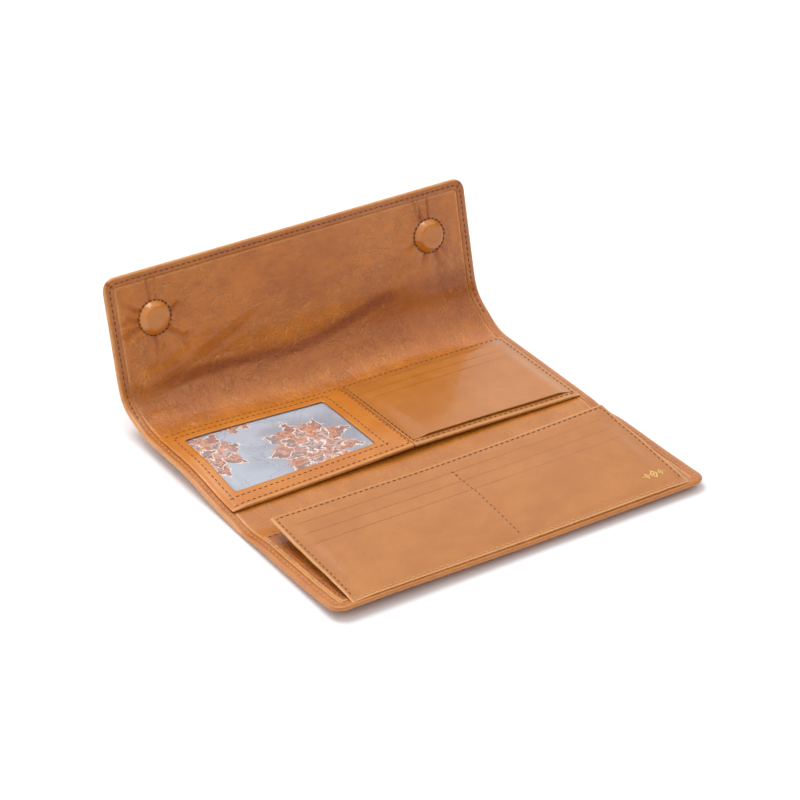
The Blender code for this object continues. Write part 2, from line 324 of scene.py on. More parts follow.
def make_plan(left, right, near, far, sides, pitch, corner=0.0, margin=7.0 * MM, extra=((), ())):
    """A flat pattern: outline, finished sides, corner radius and the grid inside its margin."""
    inner = drawn_in(left, right, near, far, sides, margin)
    grid = []
    for low_end, high_end, between in ((*inner[:2], extra[0]), (*inner[2:], extra[1])):
        lines, ends = [], (low_end, *between, high_end)
        for low, high in zip(ends, ends[1:]):
            lines.extend(spread(low, high, pitch)[(1 if lines else 0):])
        grid.append(lines)
    return {
        "left": left, "right": right, "near": near, "far": far, "sides": sides,
        "corner": corner, "margin": margin, "columns": grid[0], "rows": grid[1],
    }


def from_edge(plan, x, v):
    """Distance from a plan point to the nearest finished edge."""
    reach = {
        "L": x - plan["left"], "R": plan["right"] - x,
        "N": v - plan["near"], "F": plan["far"] - v,
    }
    return min([1.0] + [reach[side] for side in plan["sides"]])


def cut_leather(
    name, plan, profile, locate, finish, hole=None, hole_profile=None, shade=None, wear=None,
):
    """A closed sheet from its plan and edge profile, put in place by locate(x, v, height)."""
    numbers, flat, faces = {}, [], []

    def number(x, v, height):
        key = (round(x, 7), round(v, 7), round(height, 7))
        if key not in numbers:
            numbers[key] = len(flat)
            flat.append((x, v, height))
        return numbers[key]

    def add(*corners):
        tidy = [c for step, c in enumerate(corners) if c != corners[step - 1]]
        if len(set(tidy)) == len(tidy) and len(tidy) > 2:
            faces.append(tidy)

    def inside_hole(x, v):
        if hole is None:
            return False
        margin = hole["margin"]
        across = hole["left"] - margin < x < hole["right"] + margin
        return across and hole["near"] - margin < v < hole["far"] + margin

    top, bottom = profile[0][1], profile[-1][1]
    columns, rows = plan["columns"], plan["rows"]
    for low_x, high_x in zip(columns, columns[1:]):
        for low_v, high_v in zip(rows, rows[1:]):
            if inside_hole((low_x + high_x) / 2, (low_v + high_v) / 2):
                continue
            square = ((low_x, low_v), (high_x, low_v), (high_x, high_v), (low_x, high_v))
            add(*[number(x, v, top) for x, v in square])
            add(*[number(x, v, bottom) for x, v in reversed(square)])
    rings = [
        [(number(*place, height), side) for place, side in edge_ring(plan, inset)]
        for inset, height in profile
    ]
    for ring, below in zip(rings, rings[1:]):
        for step, (corner, side) in enumerate(ring):
            if side == "skip" or (side in "LRNF" and side not in plan["sides"]):
                continue
            after = (step + 1) % len(ring)
            if side == "corner" and after == 0 and not all(s in plan["sides"] for s in "LN"):
                continue
            add(corner, ring[after][0], below[after][0], below[step][0])
    if hole is not None:
        loops = [
            [number(*place, height) for place in hole_ring(hole, gap)]
            for gap, height in hole_profile
        ]
        for loop, below in zip(loops, loops[1:]):
            for step, corner in enumerate(loop):
                after = (step + 1) % len(loop)
                add(corner, loop[after], below[after], below[step])
    mesh = bpy.data.meshes.new(name)
    mesh.from_pydata([locate(*place) for place in flat], [], faces)
    pattern = mesh.attributes.new("pattern", "FLOAT_VECTOR", "POINT")
    for step, (x, v, height) in enumerate(flat):
        pattern.data[step].vector = (x, v, wear(x, v) if wear else from_edge(plan, x, v))
    # Stored shade: painted shade in grooves and pocket mouths, a painted dark reflection on the
    # flap's bend, and dark mitre joints.
    if shade is not None:
        tint = mesh.attributes.new("crease", "FLOAT", "POINT")
        tint.data.foreach_set("value", [shade(x, v) for x, v, height in flat])
    work = bmesh.new()
    work.from_mesh(mesh)
    gaps = [edge for edge in work.edges if edge.is_boundary]
    if gaps:
        bmesh.ops.holes_fill(work, edges=gaps, sides=0)
    wide = [face for face in work.faces if len(face.verts) > 4]
    bmesh.ops.triangulate(work, faces=wide)
    bmesh.ops.recalc_face_normals(work, faces=work.faces)
    left_open = sum(1 for edge in work.edges if not edge.is_manifold)
    work.to_mesh(mesh)
    work.free()
    mesh.shade_smooth()
    mesh.set_sharp_from_angle(angle=radians(50))
    print(name, len(mesh.polygons), "faces", "open edges:", left_open)
    return add_object(name, mesh, finish)


# %% [markdown]
# ## Shader maths
# A wire holds one socket. Arithmetic on wires adds Math nodes, so a finish reads like the
# sum it is; colours go through Mix nodes, and every other node comes from one method.

# %% A wire between nodes
class Wire:
    def __init__(self, tree, socket=None):
        self.tree = tree
        self.socket = socket

    def node(self, kind, settings=None, values=None, output=0):
        made = self.tree.nodes.new(kind)
        for key, value in (settings or {}).items():
            setattr(made, key, value)
        for key, value in (values or {}).items():
            if isinstance(value, Wire):
                self.tree.links.new(value.socket, made.inputs[key])
            else:
                made.inputs[key].default_value = value
        return Wire(self.tree, made.outputs[output])

    def math(self, operation, *values):
        return self.node("ShaderNodeMath", {"operation": operation}, dict(enumerate(values)))

    def __add__(self, other):
        return self.math("ADD", self, other)

    __radd__ = __add__

    def __mul__(self, other):
        return self.math("MULTIPLY", self, other)

    __rmul__ = __mul__

    def __sub__(self, other):
        return self.math("SUBTRACT", self, other)

    def __rsub__(self, other):
        return self.math("SUBTRACT", other, self)

    def __truediv__(self, other):
        return self.math("DIVIDE", self, other)

    def __pow__(self, other):
        return self.math("POWER", self, other)

    def absolute(self):
        return self.math("ABSOLUTE", self)

    def fraction(self):
        return self.math("FRACT", self)

    def axis(self, number):
        """One number of a vector."""
        return self.node("ShaderNodeSeparateXYZ", {}, {0: self}, number)

    def stored(self, name):
        """A number that is stored on the piece's points."""
        return self.node("ShaderNodeAttribute", {"attribute_name": name}, output=2)

    def pattern(self):
        """Place in the flat pattern, in millimetres."""
        place = self.node("ShaderNodeAttribute", {"attribute_name": "pattern"}, output=1)
        return place.scaled(1.0 / MM)

    def step(self, low, high):
        """0 where this is below low, 1 above high, soft between."""
        settings = {"interpolation_type": "SMOOTHSTEP"}
        values = {"Value": self, "From Min": low, "From Max": high}
        return self.node("ShaderNodeMapRange", settings, values)

    def mix(self, none, full):
        """Between two colours, by this mask."""
        settings = {"data_type": "RGBA", "clamp_factor": True}
        return self.node("ShaderNodeMix", settings, {0: self, 6: none, 7: full}, 2)

    def scaled(self, size):
        settings = {"operation": "SCALE"}
        return self.node("ShaderNodeVectorMath", settings, {0: self, "Scale": size})

    def shifted(self, other):
        return self.node("ShaderNodeVectorMath", {"operation": "ADD"}, {0: self, 1: other})

    def noise(self, scale, detail=3.0, roughness=0.5, output=0):
        values = {"Vector": self, "Scale": scale, "Detail": detail, "Roughness": roughness}
        return self.node("ShaderNodeTexNoise", {}, values, output)

    def cells(self, scale, feature="F1"):
        values = {"Vector": self, "Scale": scale}
        return self.node("ShaderNodeTexVoronoi", {"feature": feature}, values)


def new_finish(name, **constants):
    """A material with one Principled shader, its constants set on the shader's own sockets."""
    finish = bpy.data.materials.new(name)
    finish.use_nodes = True
    tree = finish.node_tree
    shader = tree.nodes["Principled BSDF"] if "Principled BSDF" in tree.nodes else None
    if shader is None:
        tree.nodes.clear()
        shader = tree.nodes.new("ShaderNodeBsdfPrincipled")
        output = tree.nodes.new("ShaderNodeOutputMaterial")
        tree.links.new(shader.outputs[0], output.inputs[0])
    for socket, value in constants.items():
        shader.inputs[socket.replace("_", " ")].default_value = value
    return finish, shader, Wire(tree)


def feed(shader, wires):
    for socket, wire in wires.items():
        wire.tree.links.new(wire.socket, shader.inputs[socket])


def bump(wire, height, distance, strength=1.0):
    values = {"Height": height, "Distance": distance, "Strength": strength}
    return wire.node("ShaderNodeBump", {}, values)


# %% [markdown]
# ## Glazed leather
# The hide is dyed a deep caramel, mottled, and glazed, so most of its paleness is the studio
# reflected in it. Thin pale lines are where the glaze has cracked, and the finest relief is the
# pores. Every folded edge is painted lighter, partly edge wear and partly a painted highlight,
# and pieces that store shade get painted shade in their grooves and folds.

# %% Leather finish
# Pale colour of the rims and of the glaze's cracks; on the rims it is partly edge wear and partly
# a painted highlight.
PALE_RIM_AND_CRACK = (0.74, 0.37, 0.13)


def leather(
    name, deep, bright, crackle, relief, gloss, takes_painted_shade=False, coat=0.5, rim=0.3, rim_and_crack_colour=PALE_RIM_AND_CRACK,
):
    """Dyed from deep to bright, with this much crackle, relief in mm and roughness."""
    finish, shader, wire = new_finish(name, Coat_Roughness=0.10, Coat_IOR=1.5, IOR=1.5)
    place = wire.pattern()
    edge = place.axis(2)
    cloud = place.noise(0.030, 4.0, 0.6)
    patch = place.noise(0.11, 5.0, 0.65)
    speck = place.noise(1.3, 3.0, 0.6)
    wander = place.noise(0.09, 2.0, output=1)
    warped = place.shifted(wander.scaled(12.0))
    veins = 1.0 - warped.cells(0.085, "DISTANCE_TO_EDGE").step(0.002, 0.026)
    hairs = 1.0 - warped.cells(0.33, "DISTANCE_TO_EDGE").step(0.002, 0.075)
    broken = place.noise(0.13, 2.0).step(0.42, 0.60)
    where = place.noise(0.022, 2.0).step(0.36, 0.56)
    lines = (veins * 0.55 + hairs * broken * 0.55) * where * crackle
    pores = place.cells(1.7)
    wrinkle = place.noise(0.42, 4.0, 0.7)
    tone = (cloud * 0.6 + patch * 0.4).step(0.36, 0.66)
    colour = tone.mix((*deep, 1.0), (*bright, 1.0))
    colour = (speck.step(0.45, 0.75) * 0.22).mix(colour, tuple(c * 0.6 for c in deep) + (1.0,))
    # Rim mask: the folded edges painted paler, partly edge wear and partly a painted highlight.
    worn = (1.0 - edge.step(0.1, 1.9)) * (place.noise(0.5, 3.0).step(0.2, 0.6) * 0.35 + rim)
    colour = worn.mix(colour, (*rim_and_crack_colour, 1.0))
    colour = (lines * 0.7).mix(colour, (*rim_and_crack_colour, 1.0))
    glaze = coat - lines * 0.3 - worn * 0.2
    # Painted shade from the stored value, with the dark mitre joints: darker colour and less glaze
    # there.
    if takes_painted_shade:
        fold = wire.stored("crease")
        glaze = glaze - fold * 0.5
        colour = fold.mix(colour, (deep[0] * 0.56, deep[1] * 0.40, deep[2] * 0.1, 1.0))
    rough = patch * 0.14 + lines * 0.25 + worn * 0.12 + (gloss - 0.07)
    height = pores * -0.35 + speck * 0.5 + lines * -2.4 + patch * 2.0 + wrinkle * 2.6
    feed(shader, {
        "Base Color": colour,
        "Roughness": rough,
        "Coat Weight": glaze,
        "Normal": bump(wire, height, relief * MM, 0.8),
    })
    return finish


DEEP, BRIGHT = (0.42, 0.112, 0.010), (0.52, 0.165, 0.020)
PAGE_DYES = (0.44, 0.143, 0.016), (0.50, 0.176, 0.025)
LINING_DYES = (0.47, 0.125, 0.005), (0.64, 0.200, 0.013)
BASE_DYES = (0.45, 0.143, 0.014), (0.54, 0.186, 0.024)
# The front length's copy of the shell finish: its rim is painted less pale, as painted shade on
# the front's rolled edge.
FRONT_RIM_SHADE_AND_CRACK = (0.62, 0.26, 0.07)
SHELL_HIDE = leather("shell_hide", DEEP, BRIGHT, 0.5, 0.10, 0.34, True, 0.4, 0.25)
FRONT_HIDE_SHADED = leather("front_hide", DEEP, BRIGHT, 0.5, 0.10, 0.34, True, 0.4, 0.15, FRONT_RIM_SHADE_AND_CRACK)
LINING_HIDE = leather("lining_hide", *LINING_DYES, 0.9, 0.20, 0.20, True, 0.5)
PAGE_HIDE = leather("page_hide", *PAGE_DYES, 0.0, 0.06, 0.30, False, 0.4)
BASE_HIDE = leather("base_hide", *BASE_DYES, 0.25, 0.10, 0.27, False, 0.45)


# %% [markdown]
# ## Waxed thread
# Linen thread is twisted, so its colour runs in fine bands, and each stitch is painted dark
# where it dips into the leather, as shade. Three colours do: dark, tan and pale.

# %% Thread finish
def thread(name, colour):
    """Waxed thread, painted dark as shade where it dips into the leather."""
    finish, shader, wire = new_finish(name, Roughness=0.7, Sheen_Weight=0.2)
    share = wire.stored("along")
    place = wire.node("ShaderNodeTexCoord", {}, output=3)
    bands = {"Vector": place, "Scale": 900.0, "Distortion": 1.5}
    twist = place.node("ShaderNodeTexWave", {}, bands, 1)
    # Painted shade at both ends of each stitch, where it dips into the leather.
    hole_shade = (share - 0.5).absolute().step(0.30, 0.46)
    shade = (twist * 0.5).mix((*colour, 1.0), tuple(c * 0.4 for c in colour) + (1.0,))
    shade = hole_shade.mix(shade, (0.05, 0.012, 0.003, 1.0))
    feed(shader, {"Base Color": shade, "Normal": bump(wire, twist, 0.05 * MM)})
    return finish


DARK_THREAD = thread("dark_thread", (0.13, 0.040, 0.010))
TAN_THREAD = thread("tan_thread", (0.66, 0.34, 0.13))
PALE_THREAD = thread("pale_thread", (0.80, 0.46, 0.20))

# %% [markdown]
# ## The shell
# The outer leather is turned over the edge and stitched down, which leaves a rolled edge, a
# band with a row of stitches, and a step down to the lining. The shell is cut into lengths
# in the middle of its straight runs, so that each length bends over one crease only.

# %% Outer leather
RECESS = 2.2 * MM


def shell_profile():
    top = WALL
    band = [
        (7.0, RECESS / MM), (5.15, RECESS / MM), (5.1, top / MM - 0.45), (5.0, top / MM - 0.12),
        (4.7, top / MM), (3.6, top / MM + 0.02), (3.2, top / MM - 0.03), (2.9, top / MM - 0.07),
        (2.6, top / MM - 0.03), (2.2, top / MM + 0.02), (1.3, top / MM - 0.05),
    ]
    roll = []
    for step in range(1, 8):
        turn = pi * step / 8
        roll.append((1.25 * (1.0 - sin(turn)), top / MM - 1.3 + 1.25 * cos(turn)))
    under = [(1.4, 1.34), (2.4, 1.0), (3.8, 0.5), (5.2, 0.12), (7.0, 0.0)]
    return in_mm(band + roll + under)


def soften(x, v, height, amount=0.16):
    """A hand's breadth of slow swell in the leather."""
    swell = ripple(x * 38.0, v * 38.0, 3.1)
    fine = ripple(x * 120.0, v * 120.0, 8.4)
    return height + (swell * 0.7 + fine * 0.3) * amount * MM


def on_shell(x, v, height):
    return on_wall(x, v, soften(x, v, height) if height > 0.0 else height)


FRONT_NODES = ["front_cover", "front_board", "receiver_left", "receiver_right"]
SHELL_LENGTHS = {
    "front": (FRONT_EDGE, MID_STRIP, "LRN", FRONT_NODES),
    "strip": (MID_STRIP, MID_BASE, "LR", ["strip_cover", "base_board"]),
    "base": (MID_BASE, MID_SPINE, "LR", ["base_cover"]),
    "flap": (MID_SPINE, FLAP_EDGE, "LRF", ["spine_cover", "flap_cover", "flap_board"]),
}


def spine_blend(piece):
    end = on_wall(0.0, SPINE_CREASE + 7.0 * MM, WALL)
    SPINE_CREASE - CREASE_REACH
    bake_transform(piece)


def flap_blend(piece):
    start = on_wall(0.0, MID_SPINE + 3.2 * MM, WALL)
    end = on_wall(0.0, FLAP_CREASE + FLAP_REACH, WALL)
    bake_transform(piece)


def front_blend(piece):
    FRONT_CREASE - CREASE_REACH
    FRONT_CREASE + 5.5 * MM
    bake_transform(piece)


def strip_blend(piece):
    STRIP_CREASE - 5.5 * MM
    STRIP_CREASE + CREASE_REACH
    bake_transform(piece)


BENDS = {"front": front_blend, "strip": strip_blend, "base": spine_blend, "flap": flap_blend}


def mitre(x, v):
    """Dark line where the turned edges meet at the flap's corners."""
    side, end = SIDE - abs(x), FLAP_EDGE - v
    on_band = max(side, end) < TURNED_EDGE + 0.2 * MM and min(side, end) > 1.9 * MM
    return 0.85 if on_band and abs(side - end) < 0.1 * MM else 0.0


for word, (near, far, sides, nodes) in SHELL_LENGTHS.items():
    plan = make_plan(-SIDE, SIDE, near, far, sides, 2.5 * MM, SHELL_CORNER)
    # The front length takes the copy whose rim is painted in shade.
    hide = FRONT_HIDE_SHADED if word == "front" else SHELL_HIDE
    piece = cut_leather("cover_" + word, plan, shell_profile(), on_shell, hide, shade=mitre)
    dress(piece, BENDS[word], "outer_leather", *nodes)

# %% [markdown]
# ## Lining
# The inner leather runs in under the turned edge. Round each button it puckers, because the
# button's stitching pulls it in, and two pleats run from the button up to the seam.

# %% Lining leather
LINING_TOP = 3.82 * MM
cap_low, cap_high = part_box("button_cap_right")
BUTTON_X = (cap_low.x + cap_high.x) / 2
cap_radius = (cap_high.x - cap_low.x) / 2
BUTTON_V = FLAP_EDGE - 24.4 * MM


def ray(angle, direction, width):
    """A gather at one direction round the button, 1 on it and 0 away from it."""
    off = (angle - direction + pi) % (2 * pi) - pi
    return exp(-((off / width) ** 2))


# By side, left -1 and right 1: each gather's direction, width and length
GATHERS = {
    -1: (
        (3.45, 0.17, 14.0), (3.05, 0.14, 12.0), (2.55, 0.12, 10.0),
        (5.45, 0.15, 15.0), (4.6, 0.11, 12.0), (0.2, 0.12, 7.0),
    ),
    1: ((4.95, 0.14, 9.0), (5.4, 0.12, 8.0), (3.4, 0.12, 6.0), (1.9, 0.12, 8.0), (4.3, 0.12, 5.0)),
}
# By side: each pleat's place, width and depth
PLEATS = {
    -1: ((-1.3, 0.55, 1.0), (2.1, 0.4, 0.7)),
    1: ((-5.3, 0.45, 0.7), (-3.4, 0.4, 0.5), (0.9, 0.6, 1.0)),
}


def pucker(x, v):
    """Height of the gathers and pleats round the nearer button, and painted shade in their
    grooves.
    """
    side = 1 if x > 0 else -1
    across = x - side * BUTTON_X
    along = v - BUTTON_V
    away = hypot(across, along)
    out = (away - cap_radius) / MM
    lift, dark = 0.0, 0.0
    if -1.5 < out < 20.0:
        angle = atan2(along, across)
        bend = 0.25 * ripple(x * 160.0, v * 160.0, 4.0)
        for direction, width, length in GATHERS[side]:
            fade = exp(-((max(out, 0.0) / length) ** 2)) * smooth((out + 1.5) / 1.5)
            spread_out = width * 8.0 / (8.0 + max(out, 0.0))
            turned = angle + bend * out * 0.12
            cut = ray(turned, direction, spread_out) * fade
            swell = ray(turned, direction + 2.2 * spread_out, 1.5 * spread_out) * fade
            lift += 0.38 * swell - 0.42 * cut
            # Painted shade in the gather's groove.
            dark += 0.55 * cut
        rumple = ripple(cos(angle) * 7.0, sin(angle) * 7.0, side * 9.0)
        lift += 0.14 * exp(-max(out, 0.0) / 5.0) * rumple
    top_run = FLAP_EDGE - BUTTON_V - TURNED_EDGE
    if 0.0 < along < top_run + 1.0 * MM and away > cap_radius - 0.5 * MM:
        rise_share = along / top_run
        for place, wide, depth in PLEATS[side]:
            lean = place * (0.8 + 0.45 * rise_share) + 0.3 * ripple(v * 400.0, place, side)
            near = (across / MM - lean) / wide
            cut = exp(-near * near)
            ridge = exp(-((near - 2.0) ** 2) / 1.6) + exp(-((near + 2.0) ** 2) / 1.6)
            lift += depth * (0.26 * ridge - 0.45 * cut)
            # Painted shade in the pleat's groove.
            dark += 0.6 * depth * cut
    return lift * MM, min(dark, 1.0)


def slow_fold(x, v):
    """A soft fold that climbs from the flap's lower left corner, with creases along it."""
    centre = FLAP_CREASE + (4.0 * MM) + (x + 92.0 * MM) * 0.36
    ridge = (v - centre) / (5.0 * MM)
    reach = smooth((x + 98.0 * MM) / (14.0 * MM)) * (1.0 - smooth((x + 48.0 * MM) / (30.0 * MM)))
    fold = 0.75 * exp(-ridge * ridge) - 0.55 * exp(-((ridge + 1.9) ** 2))
    second = (v - FLAP_CREASE - 7.0 * MM + (x + 60.0 * MM) * 0.10) / (3.0 * MM)
    fold += 0.28 * exp(-second * second) * (1.0 - smooth((x + 20.0 * MM) / (40.0 * MM)))
    return fold * reach * MM


def bend_creases(x, v):
    """Fine creases where the lining folds over the spine, deeper to the left."""
    near = (v - FLAP_CREASE + 1.0 * MM) / (12.0 * MM)
    depth = exp(-near * near) * (0.35 + 1.0 * smooth((20.0 * MM - x) / (90.0 * MM)))
    warp = ripple(x * 30.0, v * 60.0, 1.0) * 2.5
    fold = ripple(x * 60.0 + v * 50.0, v * 330.0 + warp, 5.0)
    dents = ripple(x * 95.0, v * 130.0, 15.0)
    return depth * (fold * 0.26 + dents * 0.30) * MM


def on_lining(x, v, height):
    if height < LINING_TOP - 0.25 * MM:
        return on_wall(x, v, height)
    extra = 0.0
    if v > FLAP_CREASE - 30.0 * MM:
        edge_hold = smooth((SIDE - abs(x) - TURNED_EDGE) / (5.0 * MM))
        extra = (slow_fold(x, v) + bend_creases(x, v)) * edge_hold
    if v > FLAP_CREASE + 12.0 * MM:
        extra += pucker(x, v)[0]
        extra += 0.20 * MM * ripple(x * 75.0, v * 75.0, 21.0) * smooth((-x - 10 * MM) / (60 * MM))
    return on_wall(x, v, soften(x, v, height, 0.30) + extra)


def painted_reflection_band(x, v):
    """A dark band painted on the flap's bend as a reflection of something dark, with a wandering
    edge, and a broader painted darkening below it towards the crease.
    """
    centre = FLAP_CREASE + (2.8 + 8.8 * smooth((x + 4.0 * MM) / (60.0 * MM))) * MM
    wander = 2.6 * MM * ripple(x * 26.0, v * 40.0, 31.0)
    off = (v - centre - wander) / MM
    across = exp(-((off / 3.8) ** 4)) if off > 0.0 else exp(-((off / 3.4) ** 2))
    ends = smooth((x + 82.0 * MM) / (22.0 * MM)) * (1.0 - smooth((x - 46.0 * MM) / (24.0 * MM)))
    # Broader painted darkening towards the crease: a painted dark reflection.
    bent = smooth((v - FLAP_CREASE + 20.0 * MM) / (14.0 * MM))
    bent *= 1.0 - smooth((v - centre) / (9.0 * MM))
    return max(across * ends, 0.50 * bent)


def lining_shade(x, v):
    # Painted shade in the gathers and pleats, and the painted dark reflection on the flap's bend.
    gathers = pucker(x, v)[1] if v > FLAP_CREASE + 12.0 * MM else 0.0
    return min(gathers + 0.88 * painted_reflection_band(x, v), 1.0)


TUCK = TURNED_EDGE - 0.12 * MM
lining_edge = [
    (2.0, 3.82), (0.7, 3.82), (0.2, 3.7), (0.0, 3.4),
    (0.0, 2.6), (0.1, 2.35), (0.5, 2.3), (2.0, 2.3),
]
lining_profile = in_mm(lining_edge)
LINING_NODES = {word: [word + "_lining"] for word in ("front", "strip", "base")}
LINING_NODES["flap"] = ["spine_lining", "flap_lining"]
for word, (near, far, sides, nodes) in SHELL_LENGTHS.items():
    pulled_near = near + TUCK if "N" in sides else near
    pulled_far = far - TUCK if "F" in sides else far
    pitch = 0.8 * MM if word == "flap" else 2.0 * MM
    plan = make_plan(
        -SIDE + TUCK, SIDE - TUCK, pulled_near, pulled_far, sides, pitch, 1.5 * MM, 2.0 * MM,
    )
    hide = BASE_HIDE if word in ("front", "strip") else LINING_HIDE
    piece = cut_leather(
        "lining_" + word, plan, lining_profile, on_lining, hide, shade=lining_shade,
    )
    dress(piece, BENDS[word], "inner_leather", *LINING_NODES[word])

# %% [markdown]
# ## Stitches
# Each stitch is a short length of waxed thread that comes up, lies on the leather and goes
# down again. A row walks along a line of the pattern and bends every stitch with the piece.
# The same row shows on the outer face, where the thread comes through the wall.

# %% A row of stitches
STITCH_PITCH = 3.0 * MM
STITCH_STEPS = 6
THREAD_SIDES = 6
FACES_PER_STITCH = STITCH_STEPS * THREAD_SIDES + 2


def walk(path, pitch):
    """Evenly spaced (start, end) pairs of plan points along a path."""
    lengths = [hypot(b[0] - a[0], b[1] - a[1]) for a, b in zip(path, path[1:])]
    total = sum(lengths)
    count = max(1, round(total / pitch))

    def at(distance):
        for (a, b), length in zip(zip(path, path[1:]), lengths):
            if distance <= length or b is path[-1]:
                share = min(distance / length, 1.0)
                return a[0] + (b[0] - a[0]) * share, a[1] + (b[1] - a[1]) * share
            distance -= length

    return [(at(total * (n + 0.14) / count), at(total * (n + 0.86) / count)) for n in range(count)]


def sew(name, paths, locate, height, finish, thick=0.26 * MM, pitch=STITCH_PITCH, proud=0.10 * MM):
    """One object holding a row of stitches for every path; height is a number or a function."""
    points, faces, twist = [], [], []
    for path in paths:
        for start, end in walk(path, pitch):
            first = len(points)
            wobble = 0.10 * MM * ripple(start[0] * 900.0, start[1] * 900.0, 2.0)
            along = Vector((end[0] - start[0], end[1] - start[1]))
            across = Vector((-along.y, along.x)).normalized()
            for ring in range(STITCH_STEPS + 1):
                share = ring / STITCH_STEPS
                bulge = max(sin(pi * share), 0.0)
                width = thick * (0.42 + 0.58 * bulge ** 0.5)
                x = start[0] + along.x * share + across.x * wobble * (share - 0.5)
                v = start[1] + along.y * share + across.y * wobble * (share - 0.5)
                base = height(x, v) if callable(height) else height
                lift = base - 0.16 * MM + (proud + 0.16 * MM) * bulge ** 0.6
                for corner in range(THREAD_SIDES):
                    turn = 2 * pi * corner / THREAD_SIDES
                    out = width * cos(turn)
                    up = lift + width * 0.8 * sin(turn)
                    points.append(locate(x + across.x * out, v + across.y * out, up))
                    twist.append(share)
            for ring in range(STITCH_STEPS):
                for corner in range(THREAD_SIDES):
                    a = first + ring * THREAD_SIDES + corner
                    b = first + ring * THREAD_SIDES + (corner + 1) % THREAD_SIDES
                    faces.append((a, b, b + THREAD_SIDES, a + THREAD_SIDES))
            last = first + STITCH_STEPS * THREAD_SIDES
            faces.append(tuple(first + corner for corner in reversed(range(THREAD_SIDES))))
            faces.append(tuple(last + corner for corner in range(THREAD_SIDES)))
    mesh = bpy.data.meshes.new(name)
    mesh.from_pydata(points, [], faces)
    mesh.attributes.new("along", "FLOAT", "POINT").data.foreach_set("value", twist)
    work = bmesh.new()
    work.from_mesh(mesh)
    bmesh.ops.recalc_face_normals(work, faces=work.faces)
    work.to_mesh(mesh)
    work.free()
    mesh.shade_smooth()
    print(name, len(faces) // FACES_PER_STITCH, "stitches")
    return add_object(name, mesh, finish)


def border_path(word):
    """The shell's border row through one length, both sides and any finished end."""
    near, far, sides, _ = SHELL_LENGTHS[word]
    out = SIDE - STITCH_INSET
    bend = SHELL_CORNER - STITCH_INSET
    turns = [pi * step / 8 for step in range(5)]
    arc = [(bend * (1 - cos(turn)), bend * (1 - sin(turn))) for turn in turns]
    if sides == "LR":
        return [[(-out, near), (-out, far)], [(out, near), (out, far)]]
    if "N" in sides:
        low = near + STITCH_INSET
        left = [(-out, far)] + [(-out + dx, low + dv) for dx, dv in arc]
        return [left, [(out, far)] + [(out - dx, low + dv) for dx, dv in arc]]
    high = far - STITCH_INSET
    left = [(-out + dx, high - dv) for dx, dv in arc]
    right = [(out - dx, high - dv) for dx, dv in reversed(arc)]
    return [[(-out, near)] + left + right + [(out, near)]]


OUTER_STITCH = 0.84 * MM    # height of the outer face under the row
for word in SHELL_LENGTHS:
    border_thread = DARK_THREAD if word == "flap" else TAN_THREAD
    row = sew(
        "stitch_" + word, border_path(word), on_shell, WALL - 0.05 * MM, border_thread, 0.28 * MM,
    )
    dress(row, BENDS[word], "outer_leather")
    backing = sew(
        "stitch_outer_" + word, border_path(word),
        lambda x, v, h: on_shell(x, v, OUTER_STITCH - h), 0.0, border_thread,
    )
    dress(backing, BENDS[word], "outer_leather")

# %% [markdown]
# ## Slip pocket
# Behind the front page a flat pocket lies on the lining. Its mouth is a folded edge with one
# row of stitches, and its leather, seldom handled, keeps a coarser grain. Its dye runs darker
# than the shell's, partly as painted shade from the page over it.

# %% Slip pocket
# A darker dye, partly painted shade from the front page lying over the pocket.
SLIP_HIDE_SHADED = leather("slip_hide", (0.34, 0.085, 0.008), (0.52, 0.16, 0.02), 1.3, 0.25, 0.34)
slip_low, slip_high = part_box("slip_pocket")
slip_plan = make_plan(
    slip_low.x, slip_high.x, slip_low.y, slip_high.y, "LRNF", 2.5 * MM, 1.0 * MM, 3.2 * MM,
)
SLIP_TOP = 4.05
slip_edge = [
    (3.2, SLIP_TOP), (2.2, SLIP_TOP), (1.9, SLIP_TOP - 0.1), (1.6, SLIP_TOP),
    (0.3, SLIP_TOP - 0.03), (0.0, SLIP_TOP - 0.2), (0.15, SLIP_TOP - 0.38), (3.2, SLIP_TOP - 0.4),
]
slip_profile = in_mm(slip_edge)


def on_slip(x, v, height):
    return on_wall(x, v, soften(x, v, height, 0.12))


slip = cut_leather("pocket_slip", slip_plan, slip_profile, on_slip, SLIP_HIDE_SHADED)
dress(slip, riding("front_panel"), "page_leather", "slip_pocket")
slip_row = slip_high.y - 1.9 * MM
slip_path = [[(slip_low.x + 1 * MM, slip_row), (slip_high.x - 1 * MM, slip_row)]]
slip_thread = sew("stitch_slip", slip_path, on_slip, SLIP_TOP * MM - 0.1 * MM, DARK_THREAD)
dress(slip_thread, riding("front_panel"), "page_leather")

# %% [markdown]
# ## Front page
# A leaf of card pockets, sewn along the front edge of the wallet, so it lifts like a page.
# The pockets are strips of skived leather, each a little lower than the last and sewn in at
# the sides, where the steps fade out. The page is thick at its free edge and thin at the seam.

# %% Where the front page lies
front_seam = joints["front_page_seam"]["pos_m"]
front_page_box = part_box("front_page_back")
FRONT_SIDE = front_page_box[1].x
page_climb = front_page_box[1].z - front_seam[2], front_page_box[1].y - front_seam[1]
FRONT_RISE = atan2(*page_climb) - 0.011
FRONT_DEEP = (front_page_box[1].y - front_seam[1]) / cos(FRONT_RISE)
PAGE_TOP = 1.5 * MM
STRIP_THICK = 0.34 * MM
front_mouths = [
    (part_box("front_pocket_" + word)[1].y - front_seam[1]) / cos(FRONT_RISE)
    for word in ("back", "middle", "front")
]


def side_fade(x, side, start=4.0, length=7.0):
    """1 over the page's middle and 0 at its sewn sides."""
    return smooth((side - abs(x)) / MM / length - start / length)


